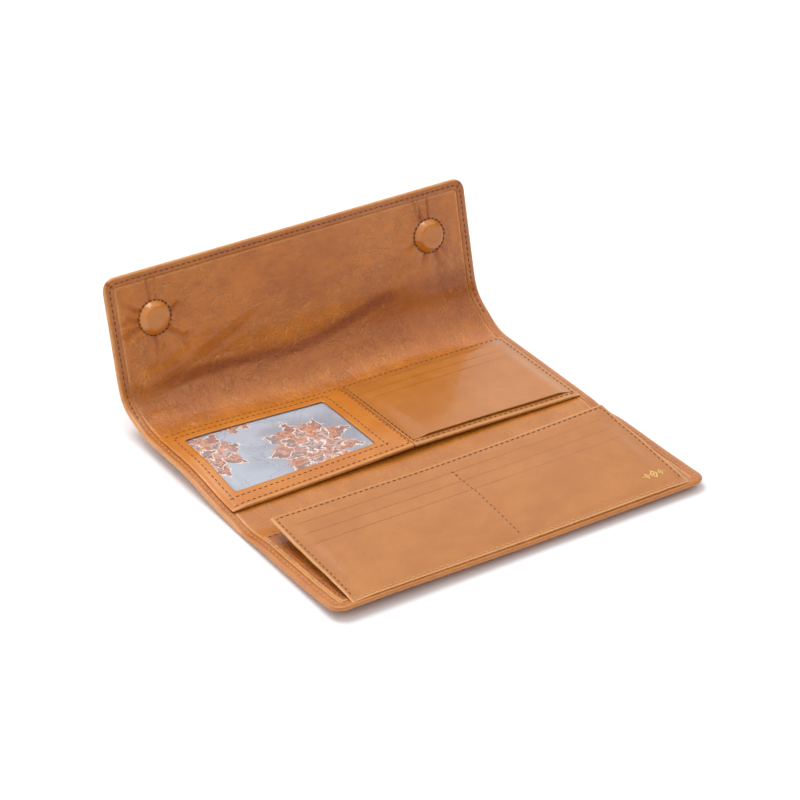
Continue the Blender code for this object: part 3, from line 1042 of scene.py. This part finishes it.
def strip_level(number, fade):
    """Bottom and top of a pocket strip, counted from 1, above the page's underside."""
    thick = 0.05 * MM + (STRIP_THICK - 0.05 * MM) * fade
    gap = 0.02 * MM + 0.07 * MM * fade
    low = PAGE_TOP + (number - 1) * (thick + gap) + gap
    return low, low + thick


def thinned(height, top, share):
    """A height on a leaf that is thinned to a share of itself; thread on top keeps its size."""
    return min(height, top) * share + max(height - top, 0.0)


def front_page_top(x, v):
    """Height of the page's upper face, pockets included."""
    number = sum(1 for mouth in front_mouths if v < mouth)
    if number == 0:
        return PAGE_TOP
    return strip_level(number, side_fade(x, FRONT_SIDE))[1]


def on_front_page(x, v, height):
    """v runs from the seam to the free edge; the free edge sags a little mid-width."""
    taper = 0.30 + 0.70 * smooth((v + 4.0 * MM) / (46.0 * MM))
    across = x / FRONT_SIDE
    sag = 1.7 * MM * max(v / FRONT_DEEP, 0.0) ** 2 * max(1.0 - across * across, 0.0) ** 1.3
    valley = 0.28 * MM * exp(-((x / (1.6 * MM)) ** 2))
    valley *= smooth((front_mouths[0] + 3 * MM - v) / (4 * MM))
    wave = 0.35 * MM * ripple(v * 70.0, x * 9.0, 6.0) * smooth((abs(x) / MM - 86.0) / 6.0)
    swell = 0.16 * MM * ripple(x * 32.0, v * 40.0, 9.0)
    rise = thinned(height, front_page_top(x, v), taper) + swell * smooth(v / (10 * MM)) - sag
    if height > 0.5 * MM:
        rise -= valley
    run = max(v, 0.0)
    seat = 0.22 * MM * (1.0 - smooth(v / (4.0 * MM)))
    y = front_seam[1] + run * cos(FRONT_RISE) - rise * sin(FRONT_RISE) + min(v, 0.0)
    z = front_seam[2] + run * sin(FRONT_RISE) + rise * cos(FRONT_RISE) - seat
    curl = settle(x, front_seam[1]) * (1.0 - smooth(v / (50.0 * MM)))
    return Vector((x + wave * (1 if x > 0 else -1), y, z + curl))


def front_page_bend(piece):
    far = on_front_page(0.0, 12.0 * MM, 0.0)
    tuple(front_seam)
    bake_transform(piece)


PAGE_OVER_SEAM = -2.5 * MM
page_edge = [
    (6.0, 1.0), (2.35, 1.0), (2.1, 0.95), (1.85, 1.0), (0.8, 1.0), (0.38, 0.94),
    (0.12, 0.78), (0.0, 0.5), (0.12, 0.2), (0.38, 0.04), (0.8, 0.0), (6.0, 0.0),
]
page_profile = [(inset * MM, height * PAGE_TOP) for inset, height in page_edge]
page_plan = make_plan(
    -FRONT_SIDE, FRONT_SIDE, PAGE_OVER_SEAM, FRONT_DEEP, "LRNF", 2.0 * MM, 1.2 * MM, 6.0 * MM,
)
page = cut_leather("page_front", page_plan, page_profile, on_front_page, PAGE_HIDE)
dress(page, front_page_bend, "page_leather", "front_page_back")

# %% [markdown]
# ### Card pockets
# Each strip is skived thin and folded at its mouth, which is painted dark: partly burnish from
# handling, partly painted shade under the fold. The strips overlap like roof tiles, and each
# ends a little before the page's stitched side.

# %% Card pockets
POCKET_SIDE = 1.35 * MM
pocket_edge = [
    (2.4, 1.0), (1.0, 1.0), (0.45, 0.98), (0.15, 0.86),
    (0.0, 0.5), (0.15, 0.12), (0.45, 0.0), (2.4, 0.0),
]


def mouth_shade_and_burnish(x, v, mouth, side):
    """Dark line along a pocket's folded mouth: partly burnish, partly painted shade under the
    fold.
    """
    near = (mouth - v) / (0.5 * MM)
    return 0.8 * exp(-near * near) * side_fade(x, side, 4.5, 6.0)


def make_pocket(name, number, left, right, near, mouth, side, place, finish, wear):
    """One strip from the seam to its mouth, thin at its sewn sides."""
    plan = make_plan(left, right, near, mouth, "LRNF", 1.6 * MM, 0.8 * MM, 2.4 * MM)

    def locate(x, v, share):
        low, high = strip_level(number, side_fade(x, side))
        return place(x, v, low + (high - low) * share)

    def shade(x, v):
        return mouth_shade_and_burnish(x, v, mouth, side)

    profile = [(inset * MM, share) for inset, share in pocket_edge]
    return cut_leather(name, plan, profile, locate, finish, shade=shade, wear=wear)


POCKET_HIDE = leather("pocket_hide", *PAGE_DYES, 0.0, 0.06, 0.30, True, 0.4)


def front_wear(x, v):
    return min(FRONT_SIDE - abs(x), v - PAGE_OVER_SEAM)


for number, (node, mouth) in enumerate(zip(("back", "middle", "front"), front_mouths), start=1):
    pocket = make_pocket(
        "pocket_front_" + node, number, -FRONT_SIDE + POCKET_SIDE, FRONT_SIDE - POCKET_SIDE,
        PAGE_OVER_SEAM + 0.05 * MM * number, mouth, FRONT_SIDE, on_front_page, POCKET_HIDE,
        front_wear,
    )
    dress(pocket, front_page_bend, "page_leather", "front_pocket_" + node)

# %% [markdown]
# ### The front page's seams
# One row runs round the page, one down its middle divides the card pockets, with a short
# second row as a backstitch at its mouth, and a paler row holds the page at its hinge.

# %% Front page stitches
row_side = FRONT_SIDE - 2.1 * MM
row_back = FRONT_DEEP - 2.1 * MM
round_page = [[
    (-row_side, 2.0 * MM), (-row_side, row_back), (row_side, row_back), (row_side, 2.0 * MM),
]]
page_thread = sew(
    "stitch_front_page", round_page, on_front_page, front_page_top, DARK_THREAD, FINE_THREAD,
)
centre_start = front_mouths[0] + 1.5 * MM
centre_path = [
    [(0.0, centre_start), (0.0, 3.0 * MM)],
    [(0.35 * MM, centre_start), (0.35 * MM, centre_start - 6 * MM)],
]
centre_thread = sew(
    "stitch_front_centre", centre_path, on_front_page, front_page_top, DARK_THREAD, FINE_THREAD,
)


def on_seam(x, v, height):
    return on_front_page(x, v - 0.6 * MM, height)


seam_path = [[(-FRONT_SIDE + 1 * MM, 0.0), (FRONT_SIDE - 1 * MM, 0.0)]]
seam_thread = sew("stitch_front_seam", seam_path, on_seam, front_page_top, PALE_THREAD, 0.30 * MM)
for row in (page_thread, centre_thread, seam_thread):
    dress(row, front_page_bend, "page_leather")

# %% [markdown]
# ## Middle page
# The middle page is sewn down at the back and at both sides, so it opens as a bill pocket and
# its front lip gapes most at mid-width. Its two halves meet at a double seam, and each half
# bends from its sewn side to the middle.

# %% Where the middle page lies
middle_seam = joints["middle_page_gape"]["pos_m"]
middle_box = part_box("middle_page_back")
MIDDLE_SIDE = middle_box[1].x
MIDDLE_RISE = radians(joints["middle_page_gape"]["range_deg"][1])
MIDDLE_DEEP = (middle_seam[1] - middle_box[0].y) / cos(MIDDLE_RISE)
MIDDLE_FRONT = middle_seam[1] - MIDDLE_DEEP
FRAME_TOP = 1.75 * MM
PAGE_SEAT = middle_seam[2] - 0.2 * MM
frame_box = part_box("window_frame")
frame_right = frame_box[1].x
MIDDLE_LEFT = frame_right + 0.25 * MM
middle_mouths = [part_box("middle_pocket_" + word)[1].y for word in ("back", "middle", "front")]


CARD_MID = (MIDDLE_LEFT + MIDDLE_SIDE) / 2
CARD_HALF = (MIDDLE_SIDE - MIDDLE_LEFT) / 2


def card_fade(x):
    return side_fade(x - CARD_MID, CARD_HALF, 2.5, 5.0)


def middle_top(x, v):
    if x < MIDDLE_LEFT:
        return FRAME_TOP
    number = sum(1 for mouth in middle_mouths if v < mouth and v > MIDDLE_FRONT + 4.2 * MM)
    return PAGE_TOP if number == 0 else strip_level(number, card_fade(x))[1]


GAPE_REACH = 171.0 * MM


def gape(x):
    """Share of the page's motion at x: none at the sewn sides and most in mid-width."""
    return smooth((MIDDLE_SIDE - abs(x)) / GAPE_REACH)


def on_middle_page(x, v, height):
    """v is the flat depth on the wall; the lip's height follows the gape."""
    along = middle_seam[1] - v
    lean = MIDDLE_RISE * gape(x)
    thin = 0.5 + 0.5 * smooth((MIDDLE_SIDE - abs(x)) / (8 * MM))
    thin *= 0.35 + 0.65 * smooth((along + 2 * MM) / (9 * MM))
    swell = 0.2 * MM * ripple(x * 34.0, v * 34.0, 12.0) + 0.25 * MM * sin(along * 70.0) * gape(x)
    rise = thinned(height, middle_top(x, v), thin) + swell * smooth(along / (12 * MM)) * gape(x)
    y = middle_seam[1] - along * cos(lean) + rise * sin(lean)
    z = PAGE_SEAT + max(along, 0.0) * sin(lean) + rise * cos(lean)
    return Vector((x, y, z + settle(x, y) - right_sink(x, y)))


def middle_bend():
    """A step that bakes a half's placement into its mesh; both halves take the same."""
    return lambda piece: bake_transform(piece)


LEFT_BEND, RIGHT_BEND = middle_bend(), middle_bend()


# %% [markdown]
# ### The window frame
# One piece of leather with the aperture cut out and its edges turned, like a picture mount.
# It is stitched round its own edge and round the aperture, and it holds the clear sheet.

# %% Window frame
aperture = {
    "left": -SIDE + 12.5 * MM, "right": -SIDE + 88.5 * MM,
    "near": middle_seam[1] - 53.5 * MM, "far": middle_seam[1] - 8.5 * MM,
    "corner": 1.6 * MM, "margin": 1.6 * MM,
}
FRAME_MARGIN = 4.0 * MM
frame_extra = (
    (aperture["left"] - aperture["margin"], aperture["right"] + aperture["margin"]),
    (aperture["near"] - aperture["margin"], aperture["far"] + aperture["margin"]),
)
MIDDLE_BACK = middle_seam[1] + 1.2 * MM
frame_plan = make_plan(
    -MIDDLE_SIDE, frame_right, MIDDLE_FRONT, MIDDLE_BACK, "LRNF", 2.0 * MM, 0.8 * MM, FRAME_MARGIN,
    extra=frame_extra,
)
for word, (low, high) in zip(("columns", "rows"), frame_extra):
    aperture[word] = [line for line in frame_plan[word] if low - 1e-7 < line < high + 1e-7]
frame_edge = [
    (4.0, 1.75), (2.75, 1.75), (2.5, 1.7), (2.25, 1.75), (0.9, 1.72), (0.4, 1.58), (0.1, 1.3),
    (0.0, 0.9), (0.1, 0.3), (0.4, -0.15), (0.9, -0.35), (1.6, -0.3), (2.8, 0.1), (3.1, 1.0),
    (4.0, 1.0),
]
hole_edge = [
    (1.6, 1.75), (0.7, 1.74), (0.3, 1.66), (0.06, 1.52),
    (0.0, 1.36), (0.06, 1.18), (0.3, 1.04), (1.6, 1.0),
]
FRAME_DYES = (0.54, 0.16, 0.010), (0.62, 0.215, 0.020)
FRAME_HIDE = leather("frame_hide", *FRAME_DYES, 0.2, 0.07, 0.32, False, 0.4)
window = cut_leather(
    "frame_window", frame_plan, in_mm(frame_edge), on_middle_page, FRAME_HIDE,
    hole=aperture, hole_profile=in_mm(hole_edge),
    wear=lambda x, v: min(v - MIDDLE_FRONT, x + MIDDLE_SIDE + 1.0 * MM),
)
dress(window, LEFT_BEND, "page_leather", "window_frame")

# %% [markdown]
# ### The page's backing
# Under the frame and the card pockets lies a thin leather that holds the page together. It is
# cut as two leaves, because the page bends from both sewn sides towards its middle.

# %% Page backing
back_edge = [(2.0, 0.08), (0.3, 0.08), (0.0, 0.04), (0.3, 0.0), (2.0, 0.0)]
back_profile = [(inset * MM, (0.12 + 4 * height) * MM) for inset, height in back_edge]
BACK_INSET = 3.2 * MM
BACK_HALVES = (
    ("left", -MIDDLE_SIDE + BACK_INSET, 0.0, "LNF", LEFT_BEND, ["middle_page_back"]),
    ("right", 0.0, MIDDLE_SIDE - BACK_INSET, "RNF", RIGHT_BEND, []),
)
for word, low, high, sides, bend, nodes in BACK_HALVES:
    back_plan = make_plan(
        low, high, MIDDLE_FRONT + BACK_INSET, middle_seam[1] - 1 * MM, sides,
        3 * MM, 0.8 * MM, 2 * MM,
    )
    backing = cut_leather(
        "page_middle_back_" + word, back_plan, back_profile, on_middle_page, PAGE_HIDE,
    )
    dress(backing, bend, "page_leather", *nodes)

# %% [markdown]
# ### The print behind the window
# A satin lining printed with large peony-like blooms in rust and copper on silver blue. Each
# bloom is rings of petals in polar coordinates round its own centre, warped by noise; every
# petal's edge carries a pale outline.

# %% Printed satin
def blooms(name):
    finish, shader, wire = new_finish(name, Roughness=0.42, Sheen_Weight=0.15)
    place = wire.pattern()
    cloud = place.noise(0.03, 2.0)
    warp = place.noise(0.22, 2.0, output=1)
    bent = place.shifted(warp.scaled(7.0)).shifted((-3.5, -3.5, 0.0))
    fine = place.noise(0.8, 2.0, output=1)
    bent = bent.shifted(fine.scaled(1.6)).shifted((-0.8, -0.8, 0.0))
    colour = cloud.step(0.38, 0.62).mix((0.27, 0.27, 0.32, 1.0), (0.42, 0.45, 0.53, 1.0))
    stem = bent.cells(0.040, "DISTANCE_TO_EDGE") - 0.05
    stems = (1.0 - stem.absolute().step(0.002, 0.014)) * 0.55
    colour = stems.mix(colour, (0.16, 0.15, 0.19, 1.0))
    rust, copper = (0.42, 0.085, 0.015, 1.0), (0.62, 0.22, 0.06, 1.0)
    umber, blush = (0.22, 0.08, 0.055, 1.0), (0.55, 0.34, 0.28, 1.0)
    cream, outline = (0.86, 0.72, 0.62, 1.0), (0.66, 0.26, 0.10, 1.0)
    rings = (
        (1.0, 0.0, rust, umber), (0.84, 0.37, copper, rust), (0.66, 0.81, umber, blush),
        (0.46, 0.2, rust, copper), (0.26, 0.6, blush, umber),
    )
    flowers = (
        (-38.0, -7.5, 24.5, 9, 0.4), (-86.0, 8.0, 19.0, 8, 1.1), (-63.0, 29.0, 12.5, 7, 0.0),
    )
    for x, y, size, petals, turn in flowers:
        parts = bent.shifted((-x, -y, 0.0))
        across, deep = parts.axis(0), parts.axis(1)
        angle = deep.math("ARCTAN2", deep, across) + (turn + pi)
        away = (across * across + deep * deep) ** 0.5 / size
        for ring, (reach, phase, one, other) in enumerate(rings):
            count = petals - ring
            turns = angle * (count / (2.0 * pi)) + phase
            lobe = 1.0 - (turns.fraction() - 0.5).absolute() * 2.0
            tooth = ((turns * 4.0).fraction() - 0.5).absolute()
            border = (lobe ** 0.8 * 0.48 + tooth * 0.14 + 0.45) * reach
            off = away - border
            inside_edge = 1.0 - off.step(-0.004, 0.004)
            line = 1.0 - off.absolute().step(0.014, 0.030)
            rim = 1.0 - (off + 0.060).absolute().step(0.014, 0.032)
            ribs = angle * (count * 3.0)
            streak = ribs.math("SINE", ribs).step(0.55, 0.95)
            fill = place.noise(0.22 + ring * 0.07, 2.0).step(0.45, 0.55).mix(one, other)
            fill = (streak * 0.45).mix(fill, blush)
            colour = inside_edge.mix(colour, fill)
            colour = (rim * inside_edge * 0.8).mix(colour, umber)
            colour = line.mix(colour, cream if ring % 2 == 0 else outline)
    diagonal = {"bands_direction": "DIAGONAL"}
    weave = place.node("ShaderNodeTexWave", diagonal, {"Vector": place, "Scale": 2.4}, 1)
    relief = bump(wire, weave, 0.02 * MM)
    feed(shader, {"Base Color": colour, "Roughness": 0.34 + weave * 0.1, "Normal": relief})
    return finish


PRINTED_SATIN = blooms("printed_satin")
PRINT_WIDE, PRINT_DEEP = 84.0 * MM, 53.0 * MM
print_mid = ((aperture["left"] + aperture["right"]) / 2, (aperture["near"] + aperture["far"]) / 2)
print_plan = make_plan(
    print_mid[0] - PRINT_WIDE / 2, print_mid[0] + PRINT_WIDE / 2,
    print_mid[1] - PRINT_DEEP / 2, print_mid[1] + PRINT_DEEP / 2,
    "LRNF", 2.0 * MM, 0.6 * MM, 1.0 * MM,
)
print_edge = [(1.0, 0.64), (0.0, 0.63), (0.0, 0.56), (1.0, 0.54)]
print_sheet = cut_leather(
    "lining_printed", print_plan, in_mm(print_edge), on_middle_page, PRINTED_SATIN,
)
dress(print_sheet, LEFT_BEND, "printed_lining", "printed_lining")

# %% [markdown]
# ### Clear vinyl
# A card window of soft vinyl lies over the print under the frame. It is never flat, so it
# catches the studio in slow waves; a low opacity and a sharp gloss give it that skin.

# %% Clear vinyl
VINYL, vinyl_shader, vinyl_wire = new_finish(
    "vinyl_clear", Roughness=0.12, IOR=1.5, Specular_IOR_Level=0.9,
)
vinyl_shader.inputs["Base Color"].default_value = (0.86, 0.89, 0.95, 1.0)
vinyl_place = vinyl_wire.pattern()
vinyl_haze = vinyl_place.noise(0.05, 2.0)
grazing = vinyl_wire.node("ShaderNodeLayerWeight", {}, {"Blend": 0.45}, 1)
feed(vinyl_shader, {
    "Alpha": 0.02 + vinyl_haze.step(0.45, 0.7) * 0.06 + grazing * 0.10,
    "Normal": bump(vinyl_wire, vinyl_place.noise(0.09, 2.0), 0.5 * MM, 0.6),
})
VINYL_LAP = 3 * MM
vinyl_plan = make_plan(
    aperture["left"] - VINYL_LAP, aperture["right"] + VINYL_LAP,
    aperture["near"] - VINYL_LAP, aperture["far"] + VINYL_LAP,
    "LRNF", 2.0 * MM, 0.6 * MM, 1.0 * MM,
)
vinyl_edge = in_mm([(1, 0.90), (0.0, 0.89), (0.0, 0.80), (1, 0.79)])
vinyl = cut_leather("window_clear", vinyl_plan, vinyl_edge, on_middle_page, VINYL)
dress(vinyl, LEFT_BEND, "clear_vinyl", "window_sheet")

# %% [markdown]
# ### The card half
# Beside the window are three card pockets on their own leaf, made like those of the front
# page. The leaf's front lip rolls down over the backing.

# %% Card half of the middle page
card_plan = make_plan(
    MIDDLE_LEFT, MIDDLE_SIDE, MIDDLE_FRONT, MIDDLE_BACK, "LRNF", 2.0 * MM, 0.8 * MM, FRAME_MARGIN,
)
card_edge = [
    (4.0, 1.5), (2.75, 1.5), (2.5, 1.45), (2.25, 1.5), (0.9, 1.48), (0.4, 1.38), (0.1, 1.15),
    (0.0, 0.8), (0.1, 0.25), (0.4, -0.2), (0.9, -0.35), (1.6, -0.3), (2.8, 0.1), (3.1, 0.7),
    (4.0, 0.7),
]
card_half = cut_leather(
    "page_middle_cards", card_plan, in_mm(card_edge), on_middle_page, PAGE_HIDE,
    wear=lambda x, v: min(v - MIDDLE_FRONT, MIDDLE_SIDE + 1.0 * MM - x),
)
dress(card_half, RIGHT_BEND, "page_leather")


def on_card(x, v, height):
    """x is from the middle of the card half."""
    return on_middle_page(x + CARD_MID, v, height)


for number, (node, mouth) in enumerate(zip(("back", "middle", "front"), middle_mouths), start=1):
    pocket = make_pocket(
        "pocket_middle_" + node, number, -CARD_HALF + POCKET_SIDE, CARD_HALF - POCKET_SIDE,
        MIDDLE_FRONT + (4.4 - 0.1 * number) * MM, mouth, CARD_HALF, on_card, POCKET_HIDE,
        lambda x, v: UNWORN,
    )
    dress(pocket, RIGHT_BEND, "page_leather", "middle_pocket_" + node)

# %% [markdown]
# ### The middle page's seams
# Rows along the lip, the back and the middle join the two halves to the wallet, and the
# aperture has its own row, whose lines run past each other at the front corners.

# %% Middle page stitches
hole_left, hole_right = aperture["left"], aperture["right"]
hole_near, hole_far = aperture["near"], aperture["far"]
lip = MIDDLE_FRONT + 2.5 * MM
edge_in = MIDDLE_SIDE - 2.2 * MM
back_row = middle_seam[1] - 0.6 * MM
around = 3.6 * MM
left_rows = [
    [(-edge_in, lip), (frame_right - 1 * MM, lip)],
    [(-edge_in, back_row), (frame_right - 1 * MM, back_row)],
    [(frame_right - 1.4 * MM, lip), (frame_right - 1.4 * MM, back_row)],
    [(hole_left - around, hole_near - around - 2 * MM), (hole_left - around, hole_far + around)],
    [(hole_right + around, hole_near - around - 2 * MM), (hole_right + around, hole_far + around)],
    [
        (hole_left - around - 2 * MM, hole_near - around),
        (hole_right + around + 2 * MM, hole_near - around),
    ],
    [(hole_left - around, hole_far + around), (hole_right + around, hole_far + around)],
]
right_rows = [
    [(MIDDLE_LEFT + 1 * MM, lip), (edge_in, lip)],
    [(MIDDLE_LEFT + 1 * MM, back_row), (edge_in, back_row)],
    [(MIDDLE_LEFT + 1.3 * MM, lip), (MIDDLE_LEFT + 1.3 * MM, back_row)],
    [(edge_in, lip), (edge_in, back_row)],
]
for word, rows, bend in (("left", left_rows, LEFT_BEND), ("right", right_rows, RIGHT_BEND)):
    row = sew("stitch_middle_" + word, rows, on_middle_page, middle_top, DARK_THREAD, FINE_THREAD)
    dress(row, bend, "page_leather")

# %% [markdown]
# ## Buttons
# Each button is a disc covered in glazed leather: a flat face, a sloping wall, and at its foot
# a ring of tight stitches that gathers the lining. A magnet under the leather holds the flap.

# %% Covered buttons
BUTTON_STEPS = 72
RING_POINTS = 40
RING_RADIUS = 8.75 * MM
BUTTON_HIDE = leather("button_hide", (0.50, 0.14, 0.010), (0.62, 0.22, 0.03), 0.0, 0.05, 0.22)
cap_profile = [
    (0.0, 3.22), (2.0, 3.24), (4.0, 3.22), (5.4, 3.16), (5.95, 3.05), (6.3, 2.85), (6.7, 2.45),
    (7.15, 1.9), (7.6, 1.35), (8.0, 0.85), (8.3, 0.4), (8.45, 0.0), (8.3, -0.25), (0.0, -0.25),
]


def on_flap(side, across, along, height):
    return on_wall(side * BUTTON_X + across, BUTTON_V + along, LINING_TOP + height)


for side, word in ((-1, "left"), (1, "right")):
    points = []
    for radius, height in cap_profile[1:-1]:
        for step in range(BUTTON_STEPS):
            turn = 2 * pi * step / BUTTON_STEPS
            gather = 0.10 * ripple(cos(turn) * 6, sin(turn) * 6, side * 5.0)
            gather *= smooth((radius - 6.0) / 1.5)
            soft = 0.05 * ripple(radius * cos(turn) * 0.4, radius * sin(turn) * 0.4, side * 3.0)
            out = (radius + gather) * MM
            points.append(on_flap(side, out * cos(turn), out * sin(turn), (height + soft) * MM))
    rings = len(cap_profile) - 2
    last_ring = (rings - 1) * BUTTON_STEPS
    top_point = len(points)
    points.append(on_flap(side, 0, 0, cap_profile[0][1] * MM))
    points.append(on_flap(side, 0, 0, cap_profile[-1][1] * MM))
    faces = []
    for step in range(BUTTON_STEPS):
        after = (step + 1) % BUTTON_STEPS
        faces.append((top_point, step, after))
        faces.append((top_point + 1, last_ring + after, last_ring + step))
        for ring in range(rings - 1):
            a, b = ring * BUTTON_STEPS + step, ring * BUTTON_STEPS + after
            faces.append((a, a + BUTTON_STEPS, b + BUTTON_STEPS, b))
    mesh = bpy.data.meshes.new("button_" + word)
    mesh.from_pydata(points, [], faces)
    pattern = mesh.attributes.new("pattern", "FLOAT_VECTOR", "POINT")
    for number, point in enumerate(points):
        pattern.data[number].vector = (point.x, point.z, UNWORN)
    mesh.shade_smooth()
    cap = add_object("button_" + word, mesh, BUTTON_HIDE)
    nodes = ["button_%s_%s" % (part, word) for part in ("cap", "magnet", "plate")]
    dress(cap, riding("flap"), "inner_leather", *nodes)
    turns = [2 * pi * n / RING_POINTS for n in range(RING_POINTS + 1)]
    circle = [(RING_RADIUS * cos(turn), RING_RADIUS * sin(turn)) for turn in turns]
    ring_row = sew(
        "stitch_button_" + word, [circle], lambda x, v, h: on_flap(side, x, v, h), 0.30 * MM,
        DARK_THREAD, 0.30 * MM, 2.3 * MM,
    )
    dress(ring_row, riding("flap"), "inner_leather")

# %% [markdown]
# ## Stamp
# A little gilt ornament is pressed into the page: a lozenge between two smaller ones.

# %% Gilt lozenges
GILT, gilt_shader, gilt_wire = new_finish("gilt", Metallic=1.0)
gilt_shader.inputs["Base Color"].default_value = (0.83, 0.58, 0.22, 1.0)
gilt_grain = gilt_wire.node("ShaderNodeTexCoord", {}, output=3).noise(2500.0, 3.0)
feed(gilt_shader, {
    "Roughness": 0.25 + gilt_grain * 0.2,
    "Normal": bump(gilt_wire, gilt_grain, 0.03 * MM),
})
STAMP_X, STAMP_V = -SIDE + 181.5 * MM, 9.2 * MM
gilt_points, gilt_faces = [], []
RING = 24    # points round a lozenge
LAYER = 2 * RING
LOZENGES = (0.0, 2.1, 2.9), (-3.9, 1.4, 2.0), (3.9, 1.4, 2.0), (-6.1, 0.5, 0.8), (6.1, 0.5, 0.8)
for shift, wide, deep in LOZENGES:
    for outer, inner in ((1.0, 0.62), (0.34, 0.0)):
        first = len(gilt_points)
        for level in (0.14, -0.1):
            for scale in (outer, inner):
                for step in range(RING):
                    turn = 2 * pi * step / RING
                    spike = 1.0 / (abs(cos(turn)) + abs(sin(turn)))
                    x = STAMP_X + (shift + wide * scale * spike * cos(turn)) * MM
                    v = STAMP_V + deep * scale * spike * sin(turn) * MM
                    gilt_points.append(on_front_page(x, v, front_page_top(x, v) + level * MM))
        for step in range(RING):
            after = (step + 1) % RING
            a, b, c, d = first + step, first + after, first + RING + step, first + RING + after
            if inner > 0.0:
                gilt_faces.append((a, b, d, c))
                gilt_faces.append((a + LAYER, c + LAYER, d + LAYER, b + LAYER))
                gilt_faces.append((c, d, d + LAYER, c + LAYER))
            gilt_faces.append((b, a, a + LAYER, b + LAYER))
        if inner == 0.0:
            gilt_faces.append(tuple(first + step for step in range(RING)))
            gilt_faces.append(tuple(first + LAYER + step for step in reversed(range(RING))))
gilt_mesh = bpy.data.meshes.new("gilt_stamp")
gilt_mesh.from_pydata(gilt_points, [], gilt_faces)
gilt_work = bmesh.new()
gilt_work.from_mesh(gilt_mesh)
loose = [vert for vert in gilt_work.verts if not vert.link_faces]
bmesh.ops.delete(gilt_work, geom=loose, context="VERTS")
bmesh.ops.recalc_face_normals(gilt_work, faces=gilt_work.faces)
gilt_work.to_mesh(gilt_mesh)
gilt_work.free()
stamp = add_object("gilt_stamp", gilt_mesh, GILT)
dress(stamp, front_page_bend, "snap_steel")

# %% [markdown]
# ## Camera, floor and light
# A pale floor under a bright, even studio. The glaze needs something dark to mirror as well,
# so the surround has one dim stretch low at the front right.

# %% Camera
camera_data = bpy.data.cameras.new("camera")
camera = bpy.data.objects.new("camera", camera_data)
bpy.context.scene.collection.objects.link(camera)
bpy.context.scene.camera = camera
camera_data.sensor_width = 36.0
camera_data.lens = 137.15
CAMERA_TURN = radians(34.93)
CAMERA_RISE = radians(31.27)
CAMERA_ROLL = radians(1.68)
CAMERA_AWAY = 1.459
camera_target = Vector((24.7 * MM, FRONT_EDGE + 138.4 * MM, 0.0))
level_part = cos(CAMERA_RISE)
camera_back = Vector((
    -sin(CAMERA_TURN) * level_part, -cos(CAMERA_TURN) * level_part, sin(CAMERA_RISE),
))
camera.location = camera_target + camera_back * CAMERA_AWAY
level = (-camera_back).to_track_quat("-Z", "Y")
camera.rotation_mode = "QUATERNION"
camera.rotation_quaternion = level @ Matrix.Rotation(CAMERA_ROLL, 3, "Z").to_quaternion()
camera_data.clip_start = 0.05
camera_data.clip_end = 50.0

# %% [markdown]
# ### Floor and surround
# Pale paper lies under the wallet, in an even white tent with one soft lamp overhead. A dim
# patch of the tent is what the glazed flap mirrors as its dark band.

# %% Pale paper lies under the wallet, in an even white tent with one soft lamp overhead. A dim
# patch of the tent is what the glazed flap mirrors; its dark band is also painted on the lining.
floor_mesh = bpy.data.meshes.new("floor")
floor_work = bmesh.new()
bmesh.ops.create_grid(floor_work, x_segments=1, y_segments=1, size=6.0)
floor_work.to_mesh(floor_mesh)
floor_work.free()
floor = bpy.data.objects.new("floor", floor_mesh)
floor.location.z = -0.05 * MM
bpy.context.scene.collection.objects.link(floor)
floor_finish, floor_shader, _ = new_finish("floor_paper", Roughness=0.9, Specular_IOR_Level=0.1)
floor_shader.inputs["Base Color"].default_value = (0.92, 0.93, 0.95, 1.0)
floor_mesh.materials.append(floor_finish)

world = bpy.data.worlds.new("studio")
bpy.context.scene.world = world
world.use_nodes = True
sky = world.node_tree
sky.nodes.clear()
background = sky.nodes.new("ShaderNodeBackground")
sky_output = sky.nodes.new("ShaderNodeOutputWorld")
sky.links.new(background.outputs[0], sky_output.inputs[0])
wire = Wire(sky)
direction = wire.node("ShaderNodeTexCoord", {}, output=0)
rise = direction.axis(2)
dot = {"operation": "DOT_PRODUCT"}
facing = wire.node("ShaderNodeVectorMath", dot, {0: direction, 1: (0.61, -0.79, 0.0)}, 1)
dim = rise.step(0.10, 0.20) * (1.0 - rise.step(0.44, 0.62)) * facing.step(0.2, 0.5)
strength = 1.0 - dim * 0.95
sky.links.new(strength.socket, background.inputs["Strength"])
background.inputs["Color"].default_value = (1.0, 1.0, 1.0, 1.0)


def soft_light(name, place, aim, size, power):
    data = bpy.data.lights.new(name, "AREA")
    data.shape = "DISK"
    data.size = size
    data.energy = power
    lamp = bpy.data.objects.new(name, data)
    lamp.location = place
    lamp.rotation_euler = (Vector(aim) - Vector(place)).to_track_quat("-Z", "Y").to_euler()
    bpy.context.scene.collection.objects.link(lamp)
    return lamp


soft_light("overhead", (-0.15, 0.45, 1.3), (0, 0, 0), 0.8, 9.0)
bpy.context.scene.view_settings.view_transform = "Standard"
bpy.context.scene.view_settings.look = "None"
